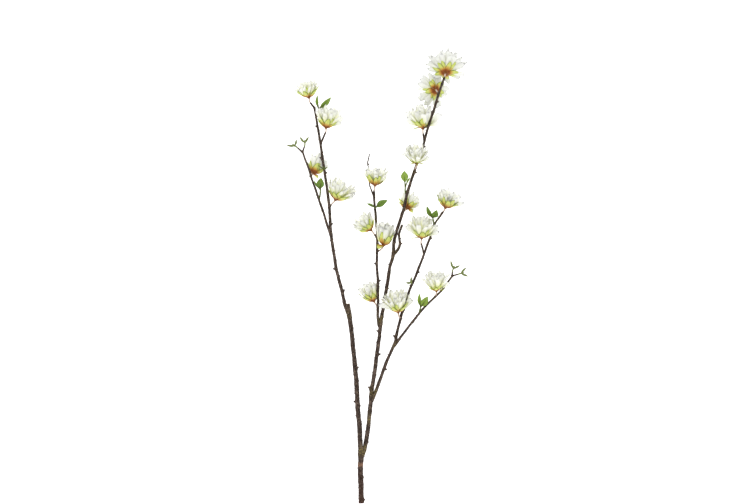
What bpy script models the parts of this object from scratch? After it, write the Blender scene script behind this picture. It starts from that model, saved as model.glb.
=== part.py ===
"""Cut flowering branch of a star magnolia, lying on a flat surface.

Units are metres. The branch points along +Y, +Z is up and the surface is the plane z = 0. The
branch rests on three low points: a small flat under its cut foot and the lowest petals of two
blossoms, one on each side.
"""

import math
import random

import bmesh
import bpy
import numpy as np
from mathutils import Matrix, Vector

# Driving dimensions
GAP = 0.00035
FLOOR_CLEAR = 0.0025
SPOT_DEPTH = 0.0003
BLADE_THICKNESS = 0.0008
WOOD_PITCH = 0.037
CAP_MERGE = 0.00002
UNION_MERGE = 0.000001

# Wood: the routes from root to tip, with the radius at both ends and the bevel resolution, which
# gives 4 sides at 0, 6 at 1 and 8 at 2.
WOOD = {
    "foot": (
        [(-0.0405, -0.600, 0.0059), (-0.042, -0.563, 0.0068), (-0.044, -0.510, 0.0085),
         (-0.044, -0.455, 0.0100)],
        0.0062, 0.0063, 2),
    "left_stem": (
        [(-0.044, -0.478, 0.0090), (-0.047, -0.415, 0.011), (-0.052, -0.346, 0.013), (-0.056, -0.278, 0.016),
         (-0.062, -0.208, 0.019), (-0.069, -0.143, 0.022), (-0.079, -0.071, 0.025)],
        0.0054, 0.0047, 1),
    "left_upper_stem": (
        [(-0.073, -0.108, 0.0225), (-0.086, -0.074, 0.026), (-0.094, -0.037, 0.029), (-0.108, 0.014, 0.033),
         (-0.115, 0.058, 0.036), (-0.123, 0.114, 0.039), (-0.128, 0.188, 0.043), (-0.137, 0.256, 0.047),
         (-0.144, 0.309, 0.050), (-0.151, 0.355, 0.052), (-0.160, 0.408, 0.053), (-0.167, 0.448, 0.053)],
        0.0040, 0.0022, 1),
    "left_side_twig": (
        [(-0.122, 0.106, 0.039), (-0.132, 0.135, 0.042), (-0.155, 0.206, 0.049), (-0.174, 0.263, 0.054),
         (-0.187, 0.299, 0.055), (-0.1985, 0.332, 0.055)],
        0.0024, 0.0018, 1),
    "right_stem": (
        [(-0.044, -0.478, 0.0090), (-0.034, -0.454, 0.0105), (-0.025, -0.402, 0.014), (-0.020, -0.346, 0.017),
         (-0.012, -0.277, 0.021), (-0.002, -0.208, 0.025), (0.005, -0.144, 0.029), (0.008, -0.112, 0.031),
         (0.015, -0.087, 0.033), (0.022, -0.043, 0.036), (0.032, 0.020, 0.040), (0.041, 0.057, 0.042),
         (0.045, 0.096, 0.044), (0.056, 0.139, 0.047), (0.070, 0.181, 0.051), (0.077, 0.217, 0.053),
         (0.087, 0.248, 0.054), (0.097, 0.280, 0.054), (0.109, 0.312, 0.054), (0.122, 0.352, 0.056),
         (0.128, 0.377, 0.057), (0.139, 0.412, 0.058), (0.149, 0.443, 0.059), (0.161, 0.481, 0.060),
         (0.1745, 0.522, 0.061)],
        0.0050, 0.0024, 1),
    "middle_stem": (
        [(0.007, -0.122, 0.031), (0.002, -0.071, 0.036), (0.001, -0.015, 0.039), (-0.002, 0.037, 0.041),
         (-0.001, 0.096, 0.044), (-0.004, 0.150, 0.047), (-0.008, 0.196, 0.049), (-0.0095, 0.222, 0.051)],
        0.0034, 0.0021, 1),
    "right_branch": (
        [(-0.016, -0.328, 0.0180), (-0.006, -0.307, 0.020), (0.005, -0.277, 0.022), (0.022, -0.230, 0.025),
         (0.038, -0.194, 0.027), (0.047, -0.172, 0.028), (0.050, -0.155, 0.029), (0.058, -0.124, 0.031),
         (0.064, -0.098, 0.033), (0.070, -0.084, 0.034), (0.078, -0.058, 0.036), (0.087, -0.029, 0.038),
         (0.095, -0.012, 0.039), (0.104, 0.011, 0.040), (0.118, 0.048, 0.041), (0.133, 0.089, 0.042),
         (0.142, 0.114, 0.042), (0.151, 0.139, 0.041), (0.162, 0.156, 0.040), (0.172, 0.170, 0.039)],
        0.0037, 0.0018, 1),
    "far_right_branch": (
        [(0.045, -0.181, 0.0275), (0.075, -0.141, 0.031), (0.109, -0.098, 0.034), (0.132, -0.072, 0.036),
         (0.153, -0.052, 0.037), (0.173, -0.032, 0.038), (0.187, -0.012, 0.039), (0.198, 0.003, 0.040)],
        0.0026, 0.0017, 1),
    "dead_twig": (
        [(-0.009, 0.212, 0.050), (-0.017, 0.232, 0.042), (-0.021, 0.248, 0.030), (-0.019, 0.276, 0.022),
         (-0.026, 0.298, 0.021), (-0.0235, 0.314, 0.023), (-0.0215, 0.325, 0.026)],
        0.0017, 0.0011, 0),
    "dead_twig_tip": (
        [(-0.0215, 0.252, 0.029), (-0.027, 0.268, 0.024), (-0.0305, 0.283, 0.023)],
        0.0014, 0.0011, 0),
    "stub_twig": (
        [(0.042, 0.060, 0.0425), (0.053, 0.071, 0.047), (0.059, 0.086, 0.050), (0.0575, 0.114, 0.051),
         (0.0645, 0.136, 0.053)],
        0.0021, 0.0016, 1),
}

# Knots: the run of wood, the share of its length, the side as an angle round it (0 is level to
# the right, 90 upward, 180 level to the left) and the knot's radius
KNOTS = [
    ("foot", 0.05, 10, 0.0030),
    ("left_stem", 0.36, 180, 0.0036),
    ("left_stem", 0.58, 0, 0.0036),
    ("left_upper_stem", 0.13, 40, 0.0044),
    ("left_upper_stem", 0.24, 180, 0.0038),
    ("left_upper_stem", 0.45, 10, 0.0033),
    ("left_upper_stem", 0.69, -20, 0.0031),
    ("left_upper_stem", 0.76, 180, 0.0032),
    ("left_upper_stem", 0.91, 180, 0.0030),
    ("right_stem", 0.18, 170, 0.0046),
    ("right_stem", 0.27, 0, 0.0042),
    ("right_stem", 0.33, 180, 0.0042),
    ("right_stem", 0.75, 0, 0.0034),
    ("right_stem", 0.82, 20, 0.0031),
    ("right_stem", 0.91, 180, 0.0034),
    ("right_stem", 0.94, 0, 0.0030),
    ("middle_stem", 0.34, 0, 0.0034),
    ("middle_stem", 0.47, 180, 0.0032),
    ("right_branch", 0.17, 10, 0.0038),
    ("right_branch", 0.34, 180, 0.0038),
    ("right_branch", 0.68, 0, 0.0031),
    ("right_branch", 0.86, 10, 0.0031),
    ("stub_twig", 0.41, 10, 0.0028),
    ("stub_twig", 0.71, 190, 0.0027),
    ("dead_twig", 0.78, 0, 0.0019),
]
# How deep a knot's centre lies under the bark, as a share of its radius
KNOT_SINK = 0.45

# Blossoms: the point of the wood that the short twig leaves, the twig's end, the base of the
# blossom, the direction of its axis in plan and its rise above the surface in degrees, the
# petals' length, the number of outer and inner petals and how far they open, the seed, and the
# sides where an outer petal strays and where a calyx petal droops, as angles round the axis:
# 0 is level to the left of the axis, 90 upward, 180 level to the right.
BLOOMS = [
    ((-0.1665, 0.446, 0.053), (-0.1770, 0.460, 0.053), (-0.1805, 0.471, 0.053), 100, -5, 0.044, 6, 4, 20, 11,
     (0,), ()),
    ((-0.1500, 0.352, 0.052), (-0.1370, 0.382, 0.053), (-0.1365, 0.391, 0.054), 79, -8, 0.059, 7, 5, 22, 12,
     (180,), ()),
    ((-0.1770, 0.268, 0.054), (-0.1750, 0.268, 0.046), (-0.1715, 0.272, 0.0405), 62, -30, 0.052, 6, 4, 14, 13,
     (), (200,)),
    ((-0.1285, 0.182, 0.043), (-0.1230, 0.190, 0.0400), (-0.1130, 0.201, 0.0369), 58, 0, 0.057, 7, 5, 20, 14,
     (180,), ()),
    ((-0.0095, 0.220, 0.051), (-0.0090, 0.228, 0.052), (-0.0070, 0.239, 0.054), 86, 4, 0.049, 6, 4, 16, 15,
     (), ()),
    ((-0.0010, 0.102, 0.044), (-0.0080, 0.112, 0.046), (-0.0150, 0.122, 0.048), 133, 0, 0.048, 6, 4, 16, 16,
     (), ()),
    ((-0.0005, 0.068, 0.043), (0.0045, 0.070, 0.046), (0.0150, 0.080, 0.048), 82, 6, 0.061, 6, 5, 8, 17,
     (), (20, 150)),
    ((0.0680, 0.176, 0.0505), (0.0710, 0.175, 0.0430), (0.0750, 0.180, 0.0370), 66, -36, 0.041, 6, 4, 22, 18,
     (), (20, 200)),
    ((0.1230, 0.061, 0.041), (0.1155, 0.088, 0.046), (0.1165, 0.099, 0.048), 88, 4, 0.060, 7, 5, 22, 19,
     (10, 170), (10,)),
    ((0.1700, 0.168, 0.039), (0.1735, 0.172, 0.0355), (0.1785, 0.180, 0.0302), 72, 0, 0.050, 6, 4, 18, 20,
     (180,), ()),
    ((0.0960, 0.278, 0.054), (0.0990, 0.285, 0.060), (0.1035, 0.296, 0.065), 96, 22, 0.050, 6, 5, 20, 21,
     (), (10, 180)),
    ((0.1235, 0.360, 0.0565), (0.1205, 0.378, 0.053), (0.1200, 0.389, 0.050), 91, -6, 0.061, 7, 5, 22, 22,
     (0, 180), (10,)),
    ((0.1610, 0.481, 0.060), (0.1590, 0.486, 0.056), (0.1540, 0.495, 0.051), 205, -62, 0.046, 7, 4, 40, 23,
     (), ()),
    ((0.1740, 0.520, 0.061), (0.1765, 0.528, 0.0615), (0.1790, 0.536, 0.062), 84, -34, 0.058, 7, 5, 34, 24,
     (0, 180), ()),
    ((0.0045, -0.094, 0.034), (0.0000, -0.080, 0.031), (-0.0080, -0.067, 0.030), 124, -8, 0.048, 6, 4, 16, 25,
     (), ()),
    ((0.0630, -0.102, 0.033), (0.0600, -0.106, 0.037), (0.0550, -0.096, 0.046), 96, 14, 0.058, 7, 5, 20, 26,
     (10, 170), ()),
    ((0.1520, -0.053, 0.037), (0.1535, -0.049, 0.041), (0.1560, -0.040, 0.045), 94, 4, 0.051, 6, 5, 22, 27,
     (180,), (180,)),
]
# The two blossoms that touch the surface, counted from 1
RESTING_BLOOMS = (4, 10)

PEDICEL_RADIUS = 0.0017
TWIG_RADIUS = 0.0020
STRAIGHT_RUN = 0.0012
CUP_HEIGHT = 0.0045
CUP_RADII = (0.0019, 0.0044)
CORE_BOTTOM = 0.00505
CORE_LENGTH = 0.012
CORE_RADII = (0.0026, 0.0012)

# Each whorl's ring: radius and height above the bloom's base
CALYX_ROOT = (0.0052, 0.0043)
OUTER_ROOT = (0.0036, 0.0061)
INNER_ROOT = (0.0032, 0.0096)
PETAL_STATIONS = (0.0, 0.32, 0.72, 1.0)
CALYX_STATIONS = (0.0, 0.36, 0.74, 1.0)
PETAL_WIDTH_SHARE = 0.27
INNER_WIDTH_SHARE = 0.23
INNER_LENGTH_SHARE = 0.88
INNER_OPENING_DROP = 11
CALYX_LENGTH_SHARE = 0.50
CALYX_WIDTH = 0.0100
CALYX_COUNT = 7
CALYX_OPENING_GAIN = 6
BOWL_ROOT_ANGLE = 82
BOWL_DEPTH = 0.014
ROOT_FILL = 0.8
STRAY_CURL = 70
DROOP_OPENING = 34

# Leaf shoots: the point of the wood, the peg's end, the stalk's end, then each leaf as its tip,
# its width and the roll of its blade about its midrib in degrees.
LEAF_SHOOTS = [
    ((-0.1625, 0.421, 0.053), (-0.1580, 0.427, 0.055), (-0.1555, 0.446, 0.059),
     [((-0.158, 0.481, 0.065), 0.010, 35), ((-0.122, 0.475, 0.066), 0.013, -20)]),
    ((-0.1545, 0.204, 0.049), (-0.1530, 0.210, 0.052), (-0.1505, 0.233, 0.057),
     [((-0.1490, 0.262, 0.062), 0.017, 10), ((-0.168, 0.256, 0.060), 0.006, 30)]),
    ((-0.0070, 0.178, 0.048), (-0.0060, 0.182, 0.052), (-0.0055, 0.184, 0.055),
     [((0.027, 0.203, 0.060), 0.014, 15), ((-0.030, 0.194, 0.058), 0.008, -25)]),
    ((0.0765, 0.216, 0.053), (0.0735, 0.223, 0.056), (0.0715, 0.241, 0.061),
     [((0.0700, 0.281, 0.068), 0.0175, 0), ((0.0855, 0.264, 0.066), 0.0045, 40)]),
    ((0.1500, 0.136, 0.041), (0.1490, 0.141, 0.045), (0.1460, 0.157, 0.050),
     [((0.130, 0.188, 0.056), 0.010, 40), ((0.158, 0.176, 0.058), 0.013, -30)]),
    ((0.1100, -0.097, 0.034), (0.1110, -0.092, 0.038), (0.1145, -0.078, 0.042),
     [((0.111, -0.043, 0.047), 0.008, 55), ((0.133, -0.051, 0.049), 0.017, -10)]),
]
LEAF_STALK_RADIUS = 0.0012
LEAF_STATIONS = (0.0, 0.14, 0.40, 0.72, 1.0)
LEAF_FOLD = 0.16
LEAF_ARCH = 0.4
PETIOLE_SHARE = 0.10
PETIOLE_HALF_WIDTH = 0.0007

# Sprouts: the point of the wood, the peg's end, the stalk's end, then the tips of the young leaves
SPROUTS = [
    ((-0.1990, 0.3305, 0.0548), (-0.211, 0.341, 0.056), (-0.220, 0.347, 0.057),
     [(-0.241, 0.348, 0.059), (-0.213, 0.364, 0.060)]),
    ((-0.1980, 0.3300, 0.0552), (-0.193, 0.344, 0.057), (-0.1915, 0.356, 0.059),
     [(-0.206, 0.371, 0.059), (-0.181, 0.371, 0.058)]),
    ((0.1970, 0.0015, 0.0398), (0.198, 0.013, 0.042), (0.201, 0.024, 0.043),
     [(0.193, 0.045, 0.045), (0.219, 0.031, 0.044)]),
    ((0.1965, 0.0025, 0.0402), (0.212, 0.007, 0.041), (0.2225, 0.010, 0.041),
     [(0.236, 0.026, 0.043), (0.241, 0.001, 0.041)]),
    ((0.0900, -0.022, 0.0385), (0.0895, -0.018, 0.043), (0.0890, -0.013, 0.047),
     [(0.074, -0.015, 0.050), (0.0895, 0.001, 0.050)]),
    ((-0.1400, 0.281, 0.0485), (-0.1405, 0.284, 0.053), (-0.1410, 0.287, 0.056),
     [(-0.157, 0.295, 0.059), (-0.1285, 0.292, 0.059)]),
]
SPROUT_RADIUS = 0.0013
SPROUT_BOW = 0.0012
YOUNG_LEAF_RADII = (0.0011, 0.0013, 0.0005)


def clear_scene():
    """Remove every object and collection that the file opens with."""
    for thing in list(bpy.data.objects):
        bpy.data.objects.remove(thing, do_unlink=True)
    for group in list(bpy.data.collections):
        bpy.data.collections.remove(group)


def new_collection(name):
    """Make a collection under the scene."""
    group = bpy.data.collections.new(name)
    bpy.context.scene.collection.children.link(group)
    return group


def make_material(name, colour, roughness):
    """A Principled material of one colour."""
    material = bpy.data.materials.new(name)
    material.use_nodes = True
    shader = material.node_tree.nodes["Principled BSDF"]
    shader.inputs["Base Color"].default_value = (*colour, 1.0)
    shader.inputs["Roughness"].default_value = roughness
    shader.inputs["Metallic"].default_value = 0.0
    return material


def smooth_route(points, pitch):
    """Points every pitch or so along a Catmull-Rom curve through the route's own points."""
    knots = np.array(points, dtype=float)
    ends = np.vstack([2 * knots[0] - knots[1], knots, 2 * knots[-1] - knots[-2]])
    share = np.linspace(0.0, 1.0, 9)[:-1, None]
    runs = []
    for before, start, end, after in zip(ends, ends[1:], ends[2:], ends[3:]):
        linear = (end - before) * share
        square = (2 * before - 5 * start + 4 * end - after) * share ** 2
        cubic = (3 * start - before - 3 * end + after) * share ** 3
        runs.append(start + 0.5 * (linear + square + cubic))
    dense = np.vstack(runs + [knots[-1:]])
    lengths = np.linalg.norm(np.diff(dense, axis=0), axis=1)
    along = np.concatenate([[0.0], np.cumsum(lengths)])
    count = max(2, round(along[-1] / pitch) + 1)
    read_at = np.linspace(0.0, along[-1], count)
    return np.column_stack([np.interp(read_at, along, dense[:, axis]) for axis in range(3)])


def tube(name, route, radii, resolution):
    """A closed round solid along a route, with its caps welded on."""
    curve = bpy.data.curves.new(name, "CURVE")
    curve.dimensions = "3D"
    curve.bevel_depth = 1.0
    curve.bevel_resolution = resolution
    curve.use_fill_caps = True
    spline = curve.splines.new("POLY")
    spline.points.add(len(route) - 1)
    for point, place, radius in zip(spline.points, route, radii):
        point.co = (*place, 1.0)
        point.radius = radius
    guide = bpy.data.objects.new(name + "_curve", curve)
    bpy.context.scene.collection.objects.link(guide)
    bpy.context.view_layer.update()
    depsgraph = bpy.context.evaluated_depsgraph_get()
    mesh = bpy.data.meshes.new_from_object(guide.evaluated_get(depsgraph))
    weld(mesh)
    solid = bpy.data.objects.new(name, mesh)
    solid.matrix_world = guide.matrix_world
    bpy.data.objects.remove(guide, do_unlink=True)
    bpy.data.curves.remove(curve)
    return solid


def weld(mesh):
    """Merge the points of a curve's caps with those of its sides."""
    work = bmesh.new()
    work.from_mesh(mesh)
    bmesh.ops.remove_doubles(work, verts=work.verts, dist=CAP_MERGE)
    work.to_mesh(mesh)
    work.free()


def cone(name, radii, length, height, sides):
    """A closed cone frustum along +Z with its bottom at a height."""
    mesh = bpy.data.meshes.new(name)
    work = bmesh.new()
    bmesh.ops.create_cone(
        work, cap_ends=True, segments=sides, radius1=radii[0], radius2=radii[1], depth=length,
        matrix=Matrix.Translation((0.0, 0.0, height + 0.5 * length)))
    work.to_mesh(mesh)
    work.free()
    return bpy.data.objects.new(name, mesh)


def ball(name, centre, radius):
    """A small ball of twenty faces."""
    mesh = bpy.data.meshes.new(name)
    work = bmesh.new()
    bmesh.ops.create_icosphere(work, subdivisions=1, radius=radius, matrix=Matrix.Translation(centre))
    work.to_mesh(mesh)
    work.free()
    return bpy.data.objects.new(name, mesh)


def thickened(name, work):
    """An open surface made a thin closed solid: split into triangles, then given its thickness."""
    bmesh.ops.triangulate(work, faces=work.faces)
    mesh = bpy.data.meshes.new(name)
    work.to_mesh(mesh)
    work.free()
    solid = bpy.data.objects.new(name, mesh)
    wall = solid.modifiers.new("thickness", "SOLIDIFY")
    wall.thickness = BLADE_THICKNESS
    wall.offset = 0.0
    return solid


def leaf_solid(name, grid):
    """A leaf from a grid of points."""
    rows, columns = grid.shape[:2]
    work = bmesh.new()
    bmesh.ops.create_grid(work, x_segments=columns - 1, y_segments=rows - 1, size=1.0)
    for vertex, place in zip(work.verts, grid.reshape(-1, 3)):
        vertex.co = place
    return thickened(name, work)


def whorl_solid(name, blades, stations):
    """A whorl of blades that grow from one flat ring, as one thin solid."""
    work = bmesh.new()
    ring = []
    for blade in sorted(blades, key=lambda blade: blade.azimuth % 360):
        rows = [[work.verts.new(place) for place in row] for row in blade.grid(stations, (-1.0, 1.0))]
        ring.extend(rows[0])
        for (left, right), (next_left, next_right) in zip(rows, rows[1:]):
            work.faces.new((right, left, next_left))
            work.faces.new((right, next_left, next_right))
    work.faces.new(ring)
    return thickened(name, work)


def fuse(base, others, place, material, node_group):
    """Join closed solids into one node by one Boolean union, and keep its one outer body."""
    name = base.name
    operands = new_collection(name + "_operands")
    for solid in others:
        operands.objects.link(solid)
    node_group.objects.link(base)
    union = base.modifiers.new("union", "BOOLEAN")
    union.operation = "UNION"
    union.operand_type = "COLLECTION"
    union.collection = operands
    union.solver = "MANIFOLD"
    bpy.context.view_layer.update()
    depsgraph = bpy.context.evaluated_depsgraph_get()
    mesh = bpy.data.meshes.new_from_object(base.evaluated_get(depsgraph))
    base.modifiers.clear()
    base.data = mesh
    for solid in others:
        bpy.data.objects.remove(solid, do_unlink=True)
    bpy.data.collections.remove(operands)
    keep_largest_body(mesh)
    mesh.name = name
    mesh.materials.clear()
    mesh.materials.append(material)
    mesh.shade_smooth()
    mesh.set_sharp_from_angle(angle=math.radians(40))
    base.matrix_world = place
    return base


def keep_largest_body(mesh):
    """Weld a mesh and drop every loose scrap and sealed hollow, leaving the largest body."""
    work = bmesh.new()
    work.from_mesh(mesh)
    bmesh.ops.remove_doubles(work, verts=work.verts, dist=UNION_MERGE)
    left = set(work.verts)
    bodies = []
    while left:
        front = [left.pop()]
        body = set(front)
        while front:
            vertex = front.pop()
            for edge in vertex.link_edges:
                other = edge.other_vert(vertex)
                if other not in body:
                    body.add(other)
                    left.discard(other)
                    front.append(other)
        bodies.append(body)
    bodies.sort(key=len)
    for body in bodies[:-1]:
        bmesh.ops.delete(work, geom=list(body), context="VERTS")
    work.to_mesh(mesh)
    work.free()


class Obstacles:
    """What a petal is bent clear of: the surface, the wood, and the pieces placed before it."""

    WOOD_CLEAR = 0.0026
    PIECE_CLEAR = 0.0050
    SIBLING_CLEAR = 0.0022

    def __init__(self):
        self.starts = []
        self.ends = []
        self.radii = []
        self.points = []

    def add_route(self, route, radii):
        """Take in one run of wood."""
        self.starts.extend(route[:-1])
        self.ends.extend(route[1:])
        self.radii.extend(0.5 * (np.array(radii[:-1]) + np.array(radii[1:])))

    def add_points(self, points):
        """Take in the sample points of one blade."""
        self.points.append(points)

    def near(self, centre, reach):
        """The obstacles within reach of a point, as one set of arrays."""
        starts = np.array(self.starts)
        ends = np.array(self.ends)
        wood = np.linalg.norm(0.5 * (starts + ends) - centre, axis=1) < reach + WOOD_PITCH
        points = np.vstack(self.points) if self.points else np.zeros((0, 3))
        points = points[np.linalg.norm(points - centre, axis=1) < reach]
        return starts[wood], ends[wood], np.array(self.radii)[wood], points

    def margin(self, samples, nearby, siblings, floor):
        """The least room that sample points have, beyond what they need."""
        starts, ends, radii, points = nearby
        least = samples[:, 2].min() - floor
        if len(starts):
            run = ends - starts
            offset = samples[:, None, :] - starts
            share = np.clip((offset * run).sum(-1) / (run * run).sum(-1), 0.0, 1.0)
            room = np.linalg.norm(offset - share[..., None] * run, axis=-1) - radii
            least = min(least, room.min() - self.WOOD_CLEAR)
        if len(points):
            room = np.linalg.norm(samples[:, None, :] - points, axis=-1)
            least = min(least, room.min() - self.PIECE_CLEAR)
        if len(siblings):
            room = np.linalg.norm(samples[:, None, :] - np.vstack(siblings), axis=-1)
            least = min(least, room.min() - self.SIBLING_CLEAR)
        return least


class Blade:
    """One petal of a bloom, in the bloom's own frame: its axis is +Z and its base the origin."""

    SAMPLES = np.linspace(0.32, 1.0, 10)

    def __init__(self, root, length, width, claw, azimuth, opening, curl, sway, twist):
        self.root = root
        self.length = length
        self.width = width
        self.claw = claw
        self.azimuth = azimuth
        self.opening = opening
        self.curl = curl
        self.sway = sway
        self.twist = twist

    def moved(self, turn, open_more, shrink):
        """The same blade bent sideways, opened further and shortened, from the same root."""
        return Blade(self.root, self.length * shrink, self.width, self.claw, self.azimuth,
                     self.opening + open_more, self.curl, self.sway + turn, self.twist)

    def grid(self, stations, across):
        """Points of the blade's middle surface, for shares of its length and of its half width.

        The blade leaves the ring almost level, turns up along the bowl toward its opening angle
        from the axis, and curls outward with the cube of the length.
        """
        fine = np.linspace(0.0, 1.0, 41)
        turning = (BOWL_ROOT_ANGLE - self.opening) * np.exp(-fine * self.length / BOWL_DEPTH)
        angle = np.radians(self.opening + turning + self.curl * fine ** 3)
        step = self.length / 40
        out = self.root[0] + step * (np.cumsum(np.sin(angle)) - np.sin(angle[0]))
        rise = self.root[1] + step * (np.cumsum(np.cos(angle)) - np.cos(angle[0]))
        shares = np.array(stations)
        out, rise, angle = (np.interp(shares, fine, values) for values in (out, rise, angle))
        around = np.radians(self.azimuth + self.sway * shares)
        radial = np.column_stack([np.cos(around), np.sin(around), 0 * around])
        level = np.column_stack([-np.sin(around), np.cos(around), 0 * around])
        upward = np.array([0.0, 0.0, 1.0])
        tangent = radial * np.sin(angle)[:, None] + upward * np.cos(angle)[:, None]
        spin = np.radians(self.twist * shares)[:, None]
        side = level * np.cos(spin) + np.cross(tangent, level) * np.sin(spin)
        middle = radial * out[:, None] + upward * rise[:, None]
        half = 0.5 * (self.claw + (self.width - self.claw) * petal_outline(shares))
        reach = side * half[:, None]
        return middle[:, None, :] + reach[:, None, :] * np.array(across)[None, :, None]

    def samples(self, frame):
        """Sample points over the free part of the blade, in the world."""
        points = self.grid(self.SAMPLES, (-1.0, -0.5, 0.0, 0.5, 1.0)).reshape(-1, 3)
        turn = np.array(frame.to_3x3())
        return points @ turn.T + np.array(frame.translation)


def petal_outline(share):
    """Width between the claw's, at 0, and the largest, at 1: widest at 0.62, blunt at the tip."""
    rising = np.sin(0.5 * math.pi * np.minimum(share / 0.62, 1.0)) ** 1.5
    beyond = np.maximum(share - 0.62, 0.0) / 0.38
    return rising * np.sqrt(1.0 - 0.9 * beyond ** 2)


# Ways to bend a blade clear, the smallest first: turn at the tip, closing and length share
BENDS = sorted(
    ((turn, close, shrink) for turn in (0, 9, -9, 18, -18) for close in (0, 8, 16, 24, 32)
     for shrink in (1.0, 0.86, 0.72)),
    key=lambda bend: abs(bend[0]) + bend[1] + 120 * (1 - bend[2]))


def bent_clear(blades, frame, obstacles, nearby, floor, opens):
    """Each blade of a whorl in its least bent form that is clear of the obstacles and of the
    blades before it. A blade that has no such form is left out."""
    clear = []
    siblings = []
    for blade in blades:
        for turn, close, shrink in BENDS:
            moved = blade.moved(turn, close if opens else -close, shrink)
            samples = moved.samples(frame)
            if obstacles.margin(samples, nearby, siblings, floor) >= 0.0:
                clear.append(moved)
                siblings.append(samples)
                break
    return clear


def bloom_frame(base, heading, rise):
    """A frame at the bloom's base whose +Z is its axis."""
    heading = math.radians(heading)
    rise = math.radians(rise)
    level = math.cos(rise)
    axis = Vector((level * math.cos(heading), level * math.sin(heading), math.sin(rise)))
    return Matrix.Translation(base) @ axis.to_track_quat("Z", "Y").to_matrix().to_4x4()


def whorl(draw, count, start, root, length, width, opening, curl):
    """Blades set evenly round the axis, with small seeded differences."""
    blades = []
    claw = ROOT_FILL * 2 * root[0] * math.sin(math.pi / count)
    for index in range(count):
        azimuth = start + 360.0 * index / count + draw.uniform(-3, 3)
        blades.append(Blade(
            root, length * draw.uniform(0.9, 1.04), width * draw.uniform(0.92, 1.06), claw,
            azimuth, opening + draw.uniform(-3, 3), draw.uniform(*curl), draw.uniform(-7, 7),
            draw.uniform(-12, 12)))
    return blades


def nearest(blades, azimuth):
    """The blade of a whorl whose direction is nearest to an azimuth."""
    return min(blades, key=lambda blade: abs((blade.azimuth - azimuth + 180) % 360 - 180))


def bloom_blades(spec, frame, obstacles, floor):
    """The blades of one bloom, bent clear: outer petals, inner petals and calyx."""
    length, outer_count, inner_count, opening, seed, strays, droops = spec[5:]
    draw = random.Random(seed)
    start = draw.uniform(0, 360)
    nearby = obstacles.near(np.array(frame.translation), 1.5 * length)
    width = PETAL_WIDTH_SHARE * length
    outer = whorl(draw, outer_count, start, OUTER_ROOT, length, width, opening, (-4, 16))
    inner = whorl(draw, inner_count, start + 180.0 / outer_count, INNER_ROOT,
                  INNER_LENGTH_SHARE * length, INNER_WIDTH_SHARE * length,
                  opening - INNER_OPENING_DROP, (-8, 12))
    calyx = whorl(draw, CALYX_COUNT, start + 20.0, CALYX_ROOT, CALYX_LENGTH_SHARE * length,
                  CALYX_WIDTH, opening + CALYX_OPENING_GAIN, (0, 18))
    for azimuth in strays:
        nearest(outer, azimuth).curl = STRAY_CURL
    for azimuth in droops:
        nearest(calyx, azimuth).opening += DROOP_OPENING
    return (bent_clear(outer, frame, obstacles, nearby, floor, False),
            bent_clear(inner, frame, obstacles, nearby, floor, False),
            bent_clear(calyx, frame, obstacles, nearby, FLOOR_CLEAR, True))


def hermite(start, start_pull, end, end_pull, count):
    """Points of a curve that leaves its start and reaches its end in given directions."""
    share = np.linspace(0.0, 1.0, count)[:, None]
    cube = share ** 3
    square = share ** 2
    return ((2 * cube - 3 * square + 1) * start + (cube - 2 * square + share) * start_pull
            + (3 * square - 2 * cube) * end + (cube - square) * end_pull)


def unit(vector):
    """The vector at length one."""
    return vector / np.linalg.norm(vector)


def peg_route(root, end):
    """A short straight peg from inside the wood to its flat end."""
    return np.array([root, end], dtype=float)


def knot_centre(route, radii, share, side, knot_radius):
    """Centre of a knot at a share of a route, sunk into the bark on one side of it."""
    place = share * (len(route) - 1)
    index = min(int(place), len(route) - 2)
    run = route[index + 1] - route[index]
    middle = route[index] + (place - index) * run
    right = unit(np.cross(run, (0.0, 0.0, 1.0)))
    raised = unit(np.cross(right, run))
    angle = math.radians(side)
    depth = radii[index] - KNOT_SINK * knot_radius
    return middle + depth * (right * math.cos(angle) + raised * math.sin(angle))


def build_branch(obstacles, material, node_group):
    """All the wood as one solid: stems, twigs, pegs and knots."""
    solids = []
    routes = {}
    for name, (points, first_radius, last_radius, resolution) in WOOD.items():
        route = smooth_route(points, WOOD_PITCH)
        radii = np.linspace(first_radius, last_radius, len(route))
        obstacles.add_route(route, radii)
        routes[name] = (route, radii)
        solids.append(tube(name, route, radii, resolution))
    for spec in BLOOMS:
        route = peg_route(spec[0], spec[1])
        radii = (TWIG_RADIUS, TWIG_RADIUS)
        obstacles.add_route(route, radii)
        solids.append(tube("twig", route, radii, 1))
    for spec in LEAF_SHOOTS + SPROUTS:
        route = peg_route(spec[0], spec[1])
        radii = (1.3 * SPROUT_RADIUS, 1.1 * SPROUT_RADIUS)
        obstacles.add_route(route, radii)
        solids.append(tube("peg", route, radii, 0))
    for name, share, side, radius in KNOTS:
        centre = knot_centre(*routes[name], share, side, radius)
        solids.append(ball("knot", centre, radius))
    base = solids[0]
    base.name = "branch"
    return fuse(base, solids[1:], Matrix.Identity(4), material, node_group)


def stalk_route(root, peg_end, end, arrival):
    """Route of a green stalk: it starts just past the flat end of its woody peg, runs straight on
    for a moment, and bends to arrive at its end in the given direction."""
    along = unit(peg_end - root)
    start = peg_end + GAP * along
    bend_from = start + STRAIGHT_RUN * along
    pull = 0.9 * np.linalg.norm(end - bend_from)
    return np.vstack([start, hermite(bend_from, along * pull, end, arrival * pull, 3)])


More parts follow.
